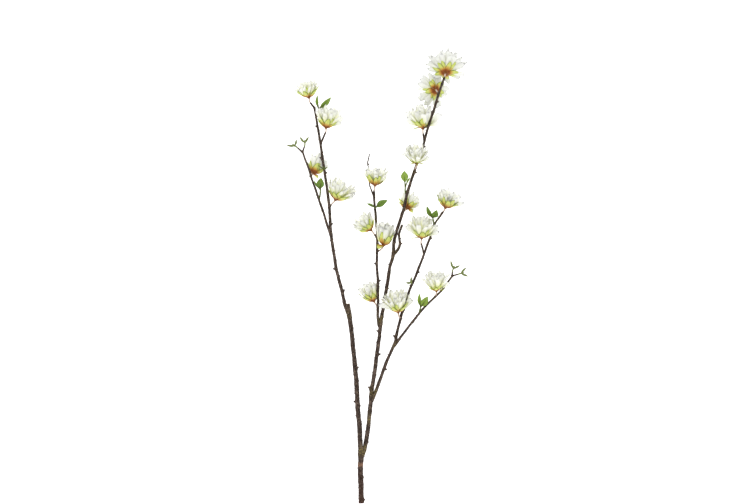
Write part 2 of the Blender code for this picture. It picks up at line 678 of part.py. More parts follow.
def leaf_grid(base, tip, width, roll):
    """Points of a leaf on its petiole: pointed, folded up along its midrib and gently arched."""
    along = unit(tip - base)
    level = unit(np.cross(along, (0.0, 0.0, 1.0)))
    raised = np.cross(level, along)
    roll = math.radians(roll)
    side = level * math.cos(roll) + raised * math.sin(roll)
    normal = np.cross(side, along)
    share = np.array(LEAF_STATIONS)
    lamina = np.clip((share - PETIOLE_SHARE) / (1 - PETIOLE_SHARE), 0.0, 1.0)
    half = np.maximum(0.5 * width * np.sin(math.pi * lamina ** 0.85) ** 0.9, PETIOLE_HALF_WIDTH)
    middle = base + (tip - base) * share[:, None]
    middle = middle + normal * (LEAF_ARCH * np.linalg.norm(tip - base) * share * (1 - share))[:, None]
    edge = side * half[:, None]
    lift = normal * (2 * LEAF_FOLD * half)[:, None]
    return np.stack([middle - edge + lift, middle, middle + edge + lift], axis=1)


def build_leaf_shoot(name, spec, obstacles, material, node_group):
    """One leaf shoot: a green stalk, and leaves on short petioles."""
    root, peg_end, stalk_end = (np.array(place) for place in spec[:3])
    leaves = spec[3]
    arrival = unit(stalk_end - peg_end)
    route = stalk_route(root, peg_end, stalk_end, arrival)
    radii = np.linspace(1.15 * LEAF_STALK_RADIUS, LEAF_STALK_RADIUS, len(route))
    obstacles.add_route(route, radii)
    solids = [tube(name, route, radii, 0)]
    inside = stalk_end - LEAF_STALK_RADIUS * arrival
    for tip, width, roll in leaves:
        grid = leaf_grid(inside, np.array(tip), width, roll)
        obstacles.add_points(grid.reshape(-1, 3))
        obstacles.add_points((0.5 * (grid[1:] + grid[:-1])).reshape(-1, 3))
        solids.append(leaf_solid("leaf", grid))
    return fuse(solids[0], solids[1:], Matrix.Identity(4), material, node_group)


def build_sprout(name, spec, obstacles, material, node_group):
    """One bud sprout: a short stalk and narrow young leaves that part from its end."""
    root, peg_end, stalk_end = (np.array(place) for place in spec[:3])
    arrival = unit(stalk_end - peg_end)
    route = stalk_route(root, peg_end, stalk_end, arrival)
    radii = np.linspace(SPROUT_RADIUS, 1.5 * SPROUT_RADIUS, len(route))
    obstacles.add_route(route, radii)
    solids = [tube(name, route, radii, 0)]
    for tip in np.array(spec[3]):
        inside = stalk_end - SPROUT_RADIUS * arrival
        middle = 0.5 * (stalk_end + tip) + SPROUT_BOW * arrival
        route = smooth_route([inside, middle, tip], 0.4 * np.linalg.norm(tip - inside))
        radii = np.interp(np.linspace(0.0, 1.0, len(route)), (0.0, 0.5, 1.0), YOUNG_LEAF_RADII)
        obstacles.add_route(route, radii)
        solids.append(tube("young_leaf", route, radii, 0))
    return fuse(solids[0], solids[1:], Matrix.Identity(4), material, node_group)


def lowest_point(blades, frame):
    """The least height of the blades' middle surfaces, where the solids have their corners."""
    turn = np.array(frame.to_3x3())
    heights = [(blade.grid(PETAL_STATIONS, (-1.0, 1.0)).reshape(-1, 3) @ turn.T)[:, 2].min()
               for blade in blades]
    return min(heights) + frame.translation.z


def build_bloom(number, spec, obstacles, materials, node_group):
    """One blossom: its white petals as one node and its calyx with the pedicel as another."""
    name = "bloom_%02d" % number
    twig_root, twig_end, base, heading, rise = spec[:5]
    frame = bloom_frame(base, heading, rise)
    rests = number in RESTING_BLOOMS
    outer, inner, calyx = bloom_blades(spec, frame, obstacles, -1.0 if rests else FLOOR_CLEAR)
    if rests:
        frame.translation.z -= lowest_point(outer, frame) + SPOT_DEPTH
    for blade in outer + inner + calyx:
        obstacles.add_points(blade.samples(frame))
    core = cone(name + "_petals", CORE_RADII, CORE_LENGTH, CORE_BOTTOM, 6)
    whorls = [whorl_solid("outer_petals", outer, PETAL_STATIONS),
              whorl_solid("inner_petals", inner, PETAL_STATIONS)]
    fuse(core, whorls, frame, materials["petal"], node_group)
    cup = cone(name + "_calyx", CUP_RADII, CUP_HEIGHT, 0.0, 6)
    whorls = [whorl_solid("tepals", calyx, CALYX_STATIONS)]
    to_local = frame.inverted()
    root, end = (np.array(to_local @ Vector(place)) for place in (twig_root, twig_end))
    route = stalk_route(root, end, np.array([0.0, 0.0, 0.5 * CUP_HEIGHT]), np.array([0.0, 0.0, 1.0]))
    radii = np.linspace(PEDICEL_RADIUS, 1.1 * PEDICEL_RADIUS, len(route))
    pedicel = tube("pedicel", route, radii, 0)
    fuse(cup, whorls + [pedicel], frame, materials["calyx"], node_group)


def add_floor_cut(node, slab):
    """Cut a node level where it would dip below the surface, which leaves a small flat."""
    cut = node.modifiers.new("rest_flat", "BOOLEAN")
    cut.operation = "DIFFERENCE"
    cut.object = slab


def main():
    """Build the whole branch."""
    clear_scene()
    node_group = new_collection("flowering_branch")
    cutters = new_collection("cutters")
    holder = bpy.data.objects.new("flowering_branch", None)
    node_group.objects.link(holder)
    materials = {
        "bark": make_material("bark", (0.060, 0.040, 0.030), 0.8),
        "petal": make_material("petal", (0.86, 0.87, 0.80), 0.55),
        "calyx": make_material("calyx", (0.55, 0.58, 0.10), 0.5),
        "leaf": make_material("leaf", (0.10, 0.26, 0.04), 0.5),
        "sprout": make_material("sprout", (0.24, 0.33, 0.11), 0.6),
    }
    obstacles = Obstacles()
    build_branch(obstacles, materials["bark"], node_group)
    for number, spec in enumerate(LEAF_SHOOTS, 1):
        build_leaf_shoot("leaf_shoot_%d" % number, spec, obstacles, materials["leaf"], node_group)
    for number, spec in enumerate(SPROUTS, 1):
        build_sprout("sprout_%d" % number, spec, obstacles, materials["sprout"], node_group)
    for number, spec in enumerate(BLOOMS, 1):
        build_bloom(number, spec, obstacles, materials, node_group)
    slab = cone("surface_slab", (2.0, 2.0), 0.05, -0.05, 4)
    slab.hide_render = True
    slab.display_type = "WIRE"
    cutters.objects.link(slab)
    add_floor_cut(node_group.objects["branch"], slab)
    for number in RESTING_BLOOMS:
        add_floor_cut(node_group.objects["bloom_%02d_petals" % number], slab)
    for node in node_group.objects:
        if node is not holder:
            node.parent = holder


if __name__ == "__main__":
    main()
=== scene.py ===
"""Dressed model of a cut flowering branch that lies on a pale surface.

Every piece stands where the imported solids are. Units are metres: +Y runs along the branch from
its cut foot to the blossoms, +X is to the right seen from above, and +Z is up. The camera looks
straight down, as the photograph's view of the branch does.
"""

import logging
import math
import random
from dataclasses import dataclass, field, replace
from enum import Enum
from typing import ClassVar

import bpy
import numpy as np
from mathutils import Matrix, Vector


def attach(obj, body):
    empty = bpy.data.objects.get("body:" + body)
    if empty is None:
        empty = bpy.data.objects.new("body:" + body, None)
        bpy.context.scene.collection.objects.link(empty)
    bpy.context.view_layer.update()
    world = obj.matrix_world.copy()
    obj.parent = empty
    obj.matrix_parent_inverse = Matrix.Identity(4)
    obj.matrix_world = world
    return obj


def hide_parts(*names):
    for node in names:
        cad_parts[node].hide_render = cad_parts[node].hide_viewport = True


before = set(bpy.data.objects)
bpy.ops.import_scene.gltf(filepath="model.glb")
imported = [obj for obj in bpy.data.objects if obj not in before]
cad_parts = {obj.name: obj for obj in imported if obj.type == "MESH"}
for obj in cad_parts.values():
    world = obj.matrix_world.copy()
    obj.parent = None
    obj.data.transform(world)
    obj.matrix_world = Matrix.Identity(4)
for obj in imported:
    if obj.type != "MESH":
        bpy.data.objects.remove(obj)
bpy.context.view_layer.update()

log = logging.getLogger("flowering_branch")

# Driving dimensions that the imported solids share, in metres
GAP = 0.00035
PEDICEL_RADIUS = 0.0018
STRAIGHT_RUN = 0.0012
CUP_HEIGHT = 0.0045
CUP_RADII = (0.0019, 0.0044)
BOWL_DEPTH = 0.014
LEAF_STALK_RADIUS = 0.0020
SPROUT_RADIUS = 0.0018

# Room above the floor, the length between a run's rings, and the points of a spline's span
FLOOR_CLEAR = 0.0008
RING_PITCH = 0.0017
ROUTE_DETAIL = 9
UP = np.array([0.0, 0.0, 1.0])

# What the bark adds to a run's radius, by the run's first radius
BARK_DEPTHS = ((0.0020, 0.0024, 0.0030, 0.0034), (0.0, 0.0010, 0.0011, 0.0010))

# Camera: the photograph's frame in metres at the height of the blossoms
VIEW_WIDTH = 1.998
VIEW_CENTRE = (0.0013, 0.066, 0.045)
CAMERA_DISTANCE = 12.0
SENSOR_WIDTH = 36.0


@dataclass(frozen=True)
class Run:
    """One run of wood: its route from root to tip and its radius at both ends."""

    points: tuple
    first_radius: float
    last_radius: float
    sides: int = 16

    def radius_at(self, share: np.ndarray | float) -> np.ndarray | float:
        """Return the tapered radius at shares of the length."""
        return self.first_radius + (self.last_radius - self.first_radius) * share


WOOD = {
    "foot": Run(
        ((-0.0425, -0.600, 0.0059), (-0.0435, -0.563, 0.0068), (-0.0447, -0.510, 0.0085),
         (-0.044, -0.455, 0.0100)),
        0.0062, 0.0063, 24),
    "left_stem": Run(
        ((-0.044, -0.478, 0.0090), (-0.047, -0.415, 0.011), (-0.052, -0.346, 0.013),
         (-0.056, -0.278, 0.016), (-0.062, -0.208, 0.019), (-0.069, -0.143, 0.022),
         (-0.079, -0.071, 0.025)),
        0.0057, 0.0050, 22),
    "left_upper_stem": Run(
        ((-0.073, -0.108, 0.0225), (-0.086, -0.074, 0.026), (-0.094, -0.037, 0.029),
         (-0.108, 0.014, 0.033), (-0.115, 0.058, 0.036), (-0.123, 0.114, 0.039),
         (-0.128, 0.188, 0.043), (-0.137, 0.256, 0.047), (-0.144, 0.309, 0.050),
         (-0.151, 0.355, 0.052), (-0.160, 0.408, 0.053), (-0.167, 0.448, 0.053)),
        0.0040, 0.0020),
    "left_side_twig": Run(
        ((-0.122, 0.106, 0.039), (-0.132, 0.135, 0.042), (-0.155, 0.206, 0.049),
         (-0.174, 0.263, 0.054), (-0.187, 0.299, 0.055), (-0.1985, 0.332, 0.055)),
        0.0024, 0.0018, 14),
    "right_stem": Run(
        ((-0.044, -0.478, 0.0090), (-0.034, -0.454, 0.0105), (-0.025, -0.402, 0.014),
         (-0.020, -0.346, 0.017), (-0.012, -0.277, 0.021), (-0.002, -0.208, 0.025),
         (0.0060, -0.144, 0.029), (0.0094, -0.113, 0.031), (0.0142, -0.087, 0.033),
         (0.022, -0.043, 0.036), (0.032, 0.020, 0.040), (0.041, 0.057, 0.042),
         (0.045, 0.096, 0.044), (0.056, 0.139, 0.047), (0.070, 0.181, 0.051),
         (0.077, 0.217, 0.053), (0.087, 0.248, 0.054), (0.097, 0.280, 0.054),
         (0.109, 0.312, 0.054), (0.122, 0.352, 0.056), (0.128, 0.377, 0.057),
         (0.139, 0.412, 0.058), (0.149, 0.443, 0.059), (0.161, 0.481, 0.060),
         (0.1745, 0.522, 0.061)),
        0.0051, 0.0021, 20),
    "middle_stem": Run(
        ((0.0050, -0.130, 0.0303), (0.0008, -0.108, 0.0328), (0.0006, -0.088, 0.0348),
         (0.0012, -0.065, 0.0364), (0.001, -0.015, 0.039),
         (-0.002, 0.037, 0.041), (-0.001, 0.096, 0.044), (-0.004, 0.150, 0.047),
         (-0.008, 0.196, 0.049), (-0.0095, 0.222, 0.051)),
        0.0028, 0.0021),
    "right_branch": Run(
        ((-0.016, -0.328, 0.0180), (-0.006, -0.307, 0.020), (0.005, -0.277, 0.022),
         (0.022, -0.230, 0.025), (0.038, -0.194, 0.027), (0.047, -0.172, 0.028),
         (0.050, -0.155, 0.029), (0.058, -0.124, 0.031), (0.064, -0.098, 0.033),
         (0.070, -0.084, 0.034), (0.078, -0.058, 0.036), (0.087, -0.029, 0.038),
         (0.095, -0.012, 0.039), (0.104, 0.011, 0.040), (0.118, 0.048, 0.041),
         (0.133, 0.089, 0.042), (0.142, 0.114, 0.042), (0.151, 0.139, 0.041),
         (0.162, 0.156, 0.040), (0.172, 0.170, 0.039)),
        0.0037, 0.0018),
    "far_right_branch": Run(
        ((0.045, -0.181, 0.0275), (0.075, -0.141, 0.031), (0.109, -0.098, 0.034),
         (0.132, -0.072, 0.036), (0.153, -0.052, 0.037), (0.173, -0.032, 0.038),
         (0.187, -0.012, 0.039), (0.198, 0.003, 0.040)),
        0.0026, 0.0017, 14),
    "dead_twig": Run(
        ((-0.009, 0.212, 0.050), (-0.017, 0.232, 0.042), (-0.021, 0.248, 0.030),
         (-0.019, 0.276, 0.022), (-0.026, 0.298, 0.021), (-0.0235, 0.314, 0.023),
         (-0.0215, 0.325, 0.026)),
        0.0020, 0.0016, 12),
    "dead_twig_tip": Run(
        ((-0.0215, 0.252, 0.029), (-0.027, 0.268, 0.024), (-0.0305, 0.283, 0.023)),
        0.0017, 0.0014, 10),
    "stub_twig": Run(
        ((0.042, 0.060, 0.0425), (0.053, 0.071, 0.047), (0.059, 0.086, 0.050),
         (0.0575, 0.114, 0.051), (0.0645, 0.136, 0.053)),
        0.0027, 0.0021, 14),
}


@dataclass(frozen=True)
class Knot:
    """A knot of the bark: the share of its run's length, its side in degrees round the run (0 is
    level to the right, 90 upward) and its radius."""

    share: float
    side: float
    radius: float


KNOTS = {
    "foot": (Knot(0.05, 10, 0.0030),),
    "left_stem": (Knot(0.36, 180, 0.0036), Knot(0.58, 0, 0.0036)),
    "left_upper_stem": (Knot(0.13, 40, 0.0044), Knot(0.24, 180, 0.0038), Knot(0.45, 10, 0.0033),
                        Knot(0.69, -20, 0.0031), Knot(0.76, 180, 0.0032),
                        Knot(0.91, 180, 0.0030)),
    "right_stem": (Knot(0.18, 170, 0.0046), Knot(0.27, 0, 0.0042), Knot(0.33, 180, 0.0034),
                   Knot(0.75, 0, 0.0034), Knot(0.82, 20, 0.0031), Knot(0.91, 180, 0.0034),
                   Knot(0.94, 0, 0.0030)),
    "middle_stem": (Knot(0.34, 0, 0.0034), Knot(0.47, 180, 0.0032)),
    "right_branch": (Knot(0.17, 10, 0.0038), Knot(0.34, 180, 0.0038), Knot(0.68, 0, 0.0031),
                     Knot(0.86, 10, 0.0031)),
    "stub_twig": (Knot(0.41, 10, 0.0028), Knot(0.71, 190, 0.0027)),
    "dead_twig": (Knot(0.78, 0, 0.0019),),
}


def unit(vector: np.ndarray) -> np.ndarray:
    """Return the vectors of an array at length one."""
    return vector / np.maximum(np.linalg.norm(vector, axis=-1, keepdims=True), 1e-12)


def even(count: int) -> np.ndarray:
    """Return evenly spaced shares from 0 to 1."""
    return np.linspace(0.0, 1.0, count)


def round_angles(sides: int) -> np.ndarray:
    """Return the angles of a ring's points in radians."""
    return np.linspace(0.0, 2 * math.pi, sides, endpoint=False)


def smooth_route(points: tuple, pitch: float) -> np.ndarray:
    """Read points from a smooth curve.

    The curve is a Catmull-Rom spline: between two points it is the cubic whose slope at each is
    half the step between that point's neighbours. It is read again at equal lengths.

    Args:
        points: the route's own points.
        pitch: the length between the points that are read.

    Returns:
        An array of points, one row each.
    """
    knots = np.array(points, dtype=float)
    ends = np.vstack([2 * knots[0] - knots[1], knots, 2 * knots[-1] - knots[-2]])
    share = even(ROUTE_DETAIL)[:-1, None]
    runs = []
    for before, start, end, after in zip(ends, ends[1:], ends[2:], ends[3:]):
        linear = (end - before) * share
        square = (2 * before - 5 * start + 4 * end - after) * share ** 2
        cubic = (3 * start - before - 3 * end + after) * share ** 3
        runs.append(start + 0.5 * (linear + square + cubic))
    dense = np.vstack(runs + [knots[-1:]])
    along = lengths_along(dense)
    count = max(3, round(along[-1] / pitch) + 1)
    read_at = np.linspace(0.0, along[-1], count)
    return np.column_stack([np.interp(read_at, along, dense[:, axis]) for axis in range(3)])


def lengths_along(route: np.ndarray) -> np.ndarray:
    """Return the length from a route's start to each of its points."""
    steps = np.linalg.norm(np.diff(route, axis=0), axis=1)
    return np.concatenate([[0.0], np.cumsum(steps)])


def hermite(start: np.ndarray, start_pull: np.ndarray, end: np.ndarray, end_pull: np.ndarray,
            count: int) -> np.ndarray:
    """Return points of the cubic that leaves its start and reaches its end with given slopes.

    Args:
        start: where it starts.
        start_pull: its slope there.
        end: where it ends.
        end_pull: its slope there.
        count: the number of points.

    Returns:
        An array of points, one row each.
    """
    share = even(count)[:, None]
    cube = share ** 3
    square = share ** 2
    return ((2 * cube - 3 * square + 1) * start + (cube - 2 * square + share) * start_pull
            + (3 * square - 2 * cube) * end + (cube - square) * end_pull)


@dataclass(frozen=True)
class Lumps:
    """Smooth irregular values in space: a sum of sines with seeded directions.

    At a point p the value is the sum of sin(2 pi k.p / size + phase) over all directions k,
    scaled to lie mostly between -1 and 1.
    """

    size: float
    seed: int
    count: int = 9

    def at(self, points: np.ndarray) -> np.ndarray:
        """Return the value at each point of an array of points."""
        draw = np.random.default_rng(self.seed)
        ways = unit(draw.normal(size=(self.count, 3))) * draw.uniform(0.7, 1.4, (self.count, 1))
        phases = draw.uniform(0.0, 2 * math.pi, self.count)
        angles = 2 * math.pi / self.size * (points @ ways.T) + phases
        return np.sin(angles).sum(axis=-1) * math.sqrt(2.0 / self.count) * 0.6


def add_to_scene(name: str, data: bpy.types.ID) -> bpy.types.Object:
    """Make an object of a mesh, a lamp or a camera and link it to the scene."""
    thing = bpy.data.objects.new(name, data)
    bpy.context.scene.collection.objects.link(thing)
    return thing


@dataclass
class Shape:
    """A mesh in the making: points, faces and what is known at each point."""

    points: list = field(default_factory=list)
    faces: list = field(default_factory=list)
    maps: list = field(default_factory=list)
    tones: list = field(default_factory=list)
    slots: list = field(default_factory=list)
    size: int = 0

    def add(self, points: np.ndarray, faces: list, maps: np.ndarray, tones: np.ndarray,
            slots: tuple) -> None:
        """Take in one closed surface.

        Args:
            points: its points, one row each.
            faces: arrays of faces by point number, a block for each kind of face.
            maps: the UV place of each point.
            tones: a value of each point that the finishes read.
            slots: the material slot of each block of faces.
        """
        self.points.append(points)
        self.maps.append(maps)
        self.tones.append(np.broadcast_to(tones, len(points)))
        for block, slot in zip(faces, slots):
            self.faces.extend((block + self.size).tolist())
            self.slots.extend([slot] * len(block))
        self.size += len(points)

    def make(self, name: str, materials: list) -> bpy.types.Object:
        """Make the object, at the origin, with its UV map, its tones and its materials.

        Args:
            name: the object's name.
            materials: its material slots.

        Returns:
            The object.
        """
        mesh = bpy.data.meshes.new(name)
        mesh.from_pydata(np.vstack(self.points).tolist(), [], self.faces)
        for material in materials:
            mesh.materials.append(material)
        mesh.polygons.foreach_set("material_index", self.slots)
        mesh.polygons.foreach_set("use_smooth", [True] * len(mesh.polygons))
        corners = np.empty(len(mesh.loops), dtype=np.int32)
        mesh.loops.foreach_get("vertex_index", corners)
        places = mesh.uv_layers.new(name="UVMap")
        places.data.foreach_set("uv", np.vstack(self.maps)[corners].ravel())
        tone = mesh.attributes.new("tone", "FLOAT", "POINT")
        tone.data.foreach_set("value", np.concatenate(self.tones))
        mesh.update()
        return add_to_scene(name, mesh)


def rings(route: np.ndarray, radii: np.ndarray, sides: int) -> tuple:
    """Work out the rings of a round tube along a route.

    The ring at a point is the point plus the radius times (right cos a + raised sin a). Right is
    level and square to the run, and raised is square to both.

    Args:
        route: the points of the tube's axis.
        radii: the radius at each point, or at each point and angle.
        sides: the number of points in a ring.

    Returns:
        The rings as an array by point, angle and axis, and the outward directions.
    """
    tangent = unit(np.gradient(route, axis=0))
    steep = abs(unit(route[-1] - route[0])[2]) > 0.9
    ref = np.array([1.0, 0.0, 0.0]) if steep else UP
    right = unit(np.cross(tangent, ref))
    raised = unit(np.cross(right, tangent))
    angle = round_angles(sides)
    out = (right[:, None, :] * np.cos(angle)[None, :, None]
           + raised[:, None, :] * np.sin(angle)[None, :, None])
    radii = np.broadcast_to(np.reshape(radii, (len(route), -1)), (len(route), sides))
    return route[:, None, :] + out * radii[..., None], out


def tube_faces(count: int, sides: int) -> tuple:
    """Faces of a tube of rings, with one middle point closing each end.

    Args:
        count: the number of rings.
        sides: the number of points in a ring.

    Returns:
        The side faces by band, and the faces of the start and of the end. The middle points
        follow the rings, start first.
    """
    row = np.arange(count - 1)[:, None] * sides
    here = np.arange(sides)[None, :]
    after = (here + 1) % sides
    side = np.stack([row + here, row + sides + here, row + sides + after, row + after], axis=-1)
    first = count * sides
    start = np.stack([np.full(sides, first), here[0], after[0]], axis=-1)
    last = (count - 1) * sides
    end = np.stack([np.full(sides, first + 1), last + after[0], last + here[0]], axis=-1)
    return side, start, end


def add_tube(shape: Shape, route: np.ndarray, radii: np.ndarray, sides: int, slot: int,
             tones: np.ndarray | float = 0.0) -> None:
    """Add a closed tube to a shape.

    The UV map holds the share of the length along V and a wave round the tube along U, which
    has no seam: it rises from 0 to 1 over one half and falls over the other.
    """
    circles, _ = rings(route, radii, sides)
    add_rings(shape, circles, route, slot, tones)


def add_rings(shape: Shape, circles: np.ndarray, route: np.ndarray, slot: int,
              tones: np.ndarray | float = 0.0, cut_start: bool = False,
              cut_end: bool = False) -> None:
    """Add the closed surface through rings that are already worked out.

    Args:
        shape: the shape that takes it in.
        circles: the rings by point of the route, angle and axis.
        route: the points of the axis.
        slot: the material slot; a cut end face takes the slot after it.
        tones: a value for the whole, for each ring or for each point.
        cut_start: whether the start is a cut face.
        cut_end: whether the end is a cut face.
    """
    count, sides = circles.shape[:2]
    points = np.vstack([circles.reshape(-1, 3), circles[0].mean(0), circles[-1].mean(0)])
    along = lengths_along(route) / max(lengths_along(route)[-1], 1e-9)
    wave = 1.0 - np.abs(np.linspace(-1.0, 1.0, sides, endpoint=False))
    maps = np.stack(np.broadcast_arrays(wave[None, :], along[:, None]), axis=-1).reshape(-1, 2)
    maps = np.vstack([maps, [0.5, 0.0], [0.5, 1.0]])
    if np.ndim(tones):
        tones = np.concatenate([np.broadcast_to(tones, (count, sides)).ravel(), [0.0, 0.0]])
    side, start, end = tube_faces(count, sides)
    bands = [side[0], side[1:-1].reshape(-1, 4), side[-1]]
    slots = (slot + cut_start, slot, slot + cut_end, slot + cut_start, slot + cut_end)
    shape.add(points, bands + [start, end], maps, tones, slots)


# How much thinner a sheet is at its side edges and at its tip
EDGE_THINNING = 0.65
TIP_THINNING = 0.5


def add_sheets(shape: Shape, grids: np.ndarray, thickness: float, slot: int,
               tones: np.ndarray) -> None:
    """Add thin closed solids, one for each middle surface.

    Each middle surface is pushed both ways along its normal by half the thickness, which thins
    toward the edges with the fourth power of the distance from the middle, and a strip of
    faces joins the two sides all round.

    Args:
        shape: the shape that takes them in.
        grids: middle surfaces as an array by sheet, row, column and axis.
        thickness: the thickness in the middle.
        slot: the material slot.
        tones: one value for each sheet.
    """
    count, rows, columns = grids.shape[:3]
    along = np.gradient(grids, axis=1)
    across = np.gradient(grids, axis=2)
    normal = unit(np.cross(along, across))
    offset = np.abs(np.linspace(-1.0, 1.0, columns)) ** 4
    share = even(rows)
    thin = (1.0 - EDGE_THINNING * offset)[None, :] * (1.0 - TIP_THINNING * share ** 4)[:, None]
    push = normal * (0.5 * thickness * thin)[None, :, :, None]
    points = np.stack([grids + push, grids - push], axis=1).reshape(-1, 3)
    number = np.arange(rows * columns).reshape(rows, columns)
    back = number + rows * columns
    front = np.stack([number[:-1, :-1], number[1:, :-1], number[1:, 1:], number[:-1, 1:]], -1)
    behind = np.stack([back[:-1, :-1], back[:-1, 1:], back[1:, 1:], back[1:, :-1]], -1)
    rim = np.concatenate([
        np.stack([number[:-1, 0], back[:-1, 0], back[1:, 0], number[1:, 0]], -1),
        np.stack([number[:-1, -1], number[1:, -1], back[1:, -1], back[:-1, -1]], -1),
        np.stack([number[0, :-1], number[0, 1:], back[0, 1:], back[0, :-1]], -1),
        np.stack([number[-1, :-1], back[-1, :-1], back[-1, 1:], number[-1, 1:]], -1)])
    one = np.vstack([front.reshape(-1, 4), behind.reshape(-1, 4), rim])
    faces = (one[None] + 2 * rows * columns * np.arange(count)[:, None, None]).reshape(-1, 4)
    place = np.stack(np.meshgrid(even(columns), share), axis=-1).reshape(-1, 2)
    maps = np.tile(place, (2 * count, 1))
    shape.add(points, [faces], maps, np.repeat(tones, 2 * rows * columns), (slot,))


@dataclass
class Surroundings:
    """What a petal is bent clear of: the wood, the green stalks, and the pieces placed before.

    The first three fields are the room it keeps from wood and stalks, from other pieces and from
    its own whorl. A run counts as near up to run_reach beyond what is asked for.
    """

    wood_clear: float = 0.0026
    piece_clear: float = 0.0032
    sibling_clear: float = 0.0012
    run_reach: float = 0.02
    starts: list = field(default_factory=list)
    ends: list = field(default_factory=list)
    radii: list = field(default_factory=list)
    points: list = field(default_factory=list)

    def add_route(self, route: np.ndarray, radii: np.ndarray) -> None:
        """Take in one round run, with its radius at each point."""
        self.starts.extend(route[:-1])
        self.ends.extend(route[1:])
        self.radii.extend(0.5 * (radii[:-1] + radii[1:]))

    def add_points(self, points: np.ndarray) -> None:
        """Take in points of a thin piece."""
        self.points.append(points.reshape(-1, 3))

    def near(self, centre: np.ndarray, reach: float) -> tuple:
        """Return the starts, ends and radii of the runs and the points within reach of a point.

        Args:
            centre: the point.
            reach: the distance.

        Returns:
            Four arrays: starts, ends, radii and points.
        """
        starts, ends = np.array(self.starts), np.array(self.ends)
        wood = np.linalg.norm(0.5 * (starts + ends) - centre, axis=1) < reach + self.run_reach
        points = np.vstack(self.points)
        points = points[np.linalg.norm(points - centre, axis=1) < reach]
        return starts[wood], ends[wood], np.array(self.radii)[wood], points

    def margin(self, samples: np.ndarray, nearby: tuple, siblings: list, floor: float) -> float:
        """Return the least room that sample points have beyond what they need.

        The room to a run is the distance to the nearest point of its axis less its radius.

        Args:
            samples: points of the petal, one row each.
            nearby: what near() returned.
            siblings: sample points of the petals before it in its whorl.
            floor: the least height.

        Returns:
            The least room in metres, below 0 where something is too close.
        """
        starts, ends, radii, points = nearby
        least = samples[:, 2].min() - floor
        if len(starts):
            run = ends - starts
            offset = samples[:, None, :] - starts
            share = np.clip((offset * run).sum(-1) / (run * run).sum(-1), 0.0, 1.0)
            room = np.linalg.norm(offset - share[..., None] * run, axis=-1) - radii
            least = min(least, room.min() - self.wood_clear)
        if len(points):
            room = np.linalg.norm(samples[:, None, :] - points, axis=-1)
            least = min(least, room.min() - self.piece_clear)
        if siblings:
            room = np.linalg.norm(samples[:, None, :] - np.vstack(siblings), axis=-1)
            least = min(least, room.min() - self.sibling_clear)
        return least


@dataclass(frozen=True)
class WhorlPlan:
    """What a whorl's blades have in common.

    Length and width are shares of the petal length, and the opening is a share of the blossom's,
    give or take the spread. Opening, spread, curl and twist are degrees. Widest is the share of
    the length where a blade is widest, point the power that rounds its tip, notch the depth of
    the tip's notches as a share of the length, and flare_share what the curl takes of the
    blossom's flare.
    """

    ring_radius: float
    ring_height: float
    count: int
    length: float
    width: float
    open_share: float
    spread: float
    curl: tuple
    cup: float
    ripple: float
    twist: float
    widest: float
    point: float
    notch: float
    flare_share: float


class Whorl(Enum):
    """The whorls of a blossom, from the outside in."""

    CALYX = WhorlPlan(0.0053, 0.0040, 5, 0.54, 0.28, 1.62, 5, (-2, 18), 0.24, 0.0008, 12, 0.45,
                      1.3, 0.02, 0.0)
    COLLAR = WhorlPlan(0.0046, 0.0050, 5, 0.62, 0.28, 1.46, 3, (-4, 10), 0.27, 0.0008, 8, 0.45,
                       1.3, 0.02, 0.0)
    OUTER = WhorlPlan(0.0036, 0.0061, 14, 0.92, 0.25, 1.60, 8, (-4, 18), 0.15, 0.0011, 24, 0.72,
                      3.0, 0.09, 1.0)
    MIDDLE = WhorlPlan(0.0034, 0.0079, 13, 1.01, 0.24, 1.08, 8, (-6, 14), 0.16, 0.0012, 24, 0.72,
                       3.0, 0.09, 0.6)
    INNER = WhorlPlan(0.0031, 0.0098, 9, 1.05, 0.23, 0.50, 8, (-6, 12), 0.18, 0.0010, 24, 0.72,
                      3.0, 0.09, 0.2)

    @property
    def green(self) -> bool:
        """Whether this is one of the two green whorls."""
        return self in (Whorl.CALYX, Whorl.COLLAR)


# Every blade's angle at its ring in degrees, and the steps of its profile
BOWL_ROOT_ANGLE = 82
PROFILE_STEPS = 40

# Waves of its notches across, of its ripple along, and how far the ripple slants
NOTCH_WAVES = 1.25
RIPPLE_WAVES = 1.7
RIPPLE_SLANT = 0.3

# The crease along its middle: its height, and its width as a share of the half width
CREASE_HEIGHT = 0.00035
CREASE_SHARE = 0.22

# The power of its widening, and how far the tip closes
WIDENING_POWER = 1.25
TIP_CLOSING = 0.97


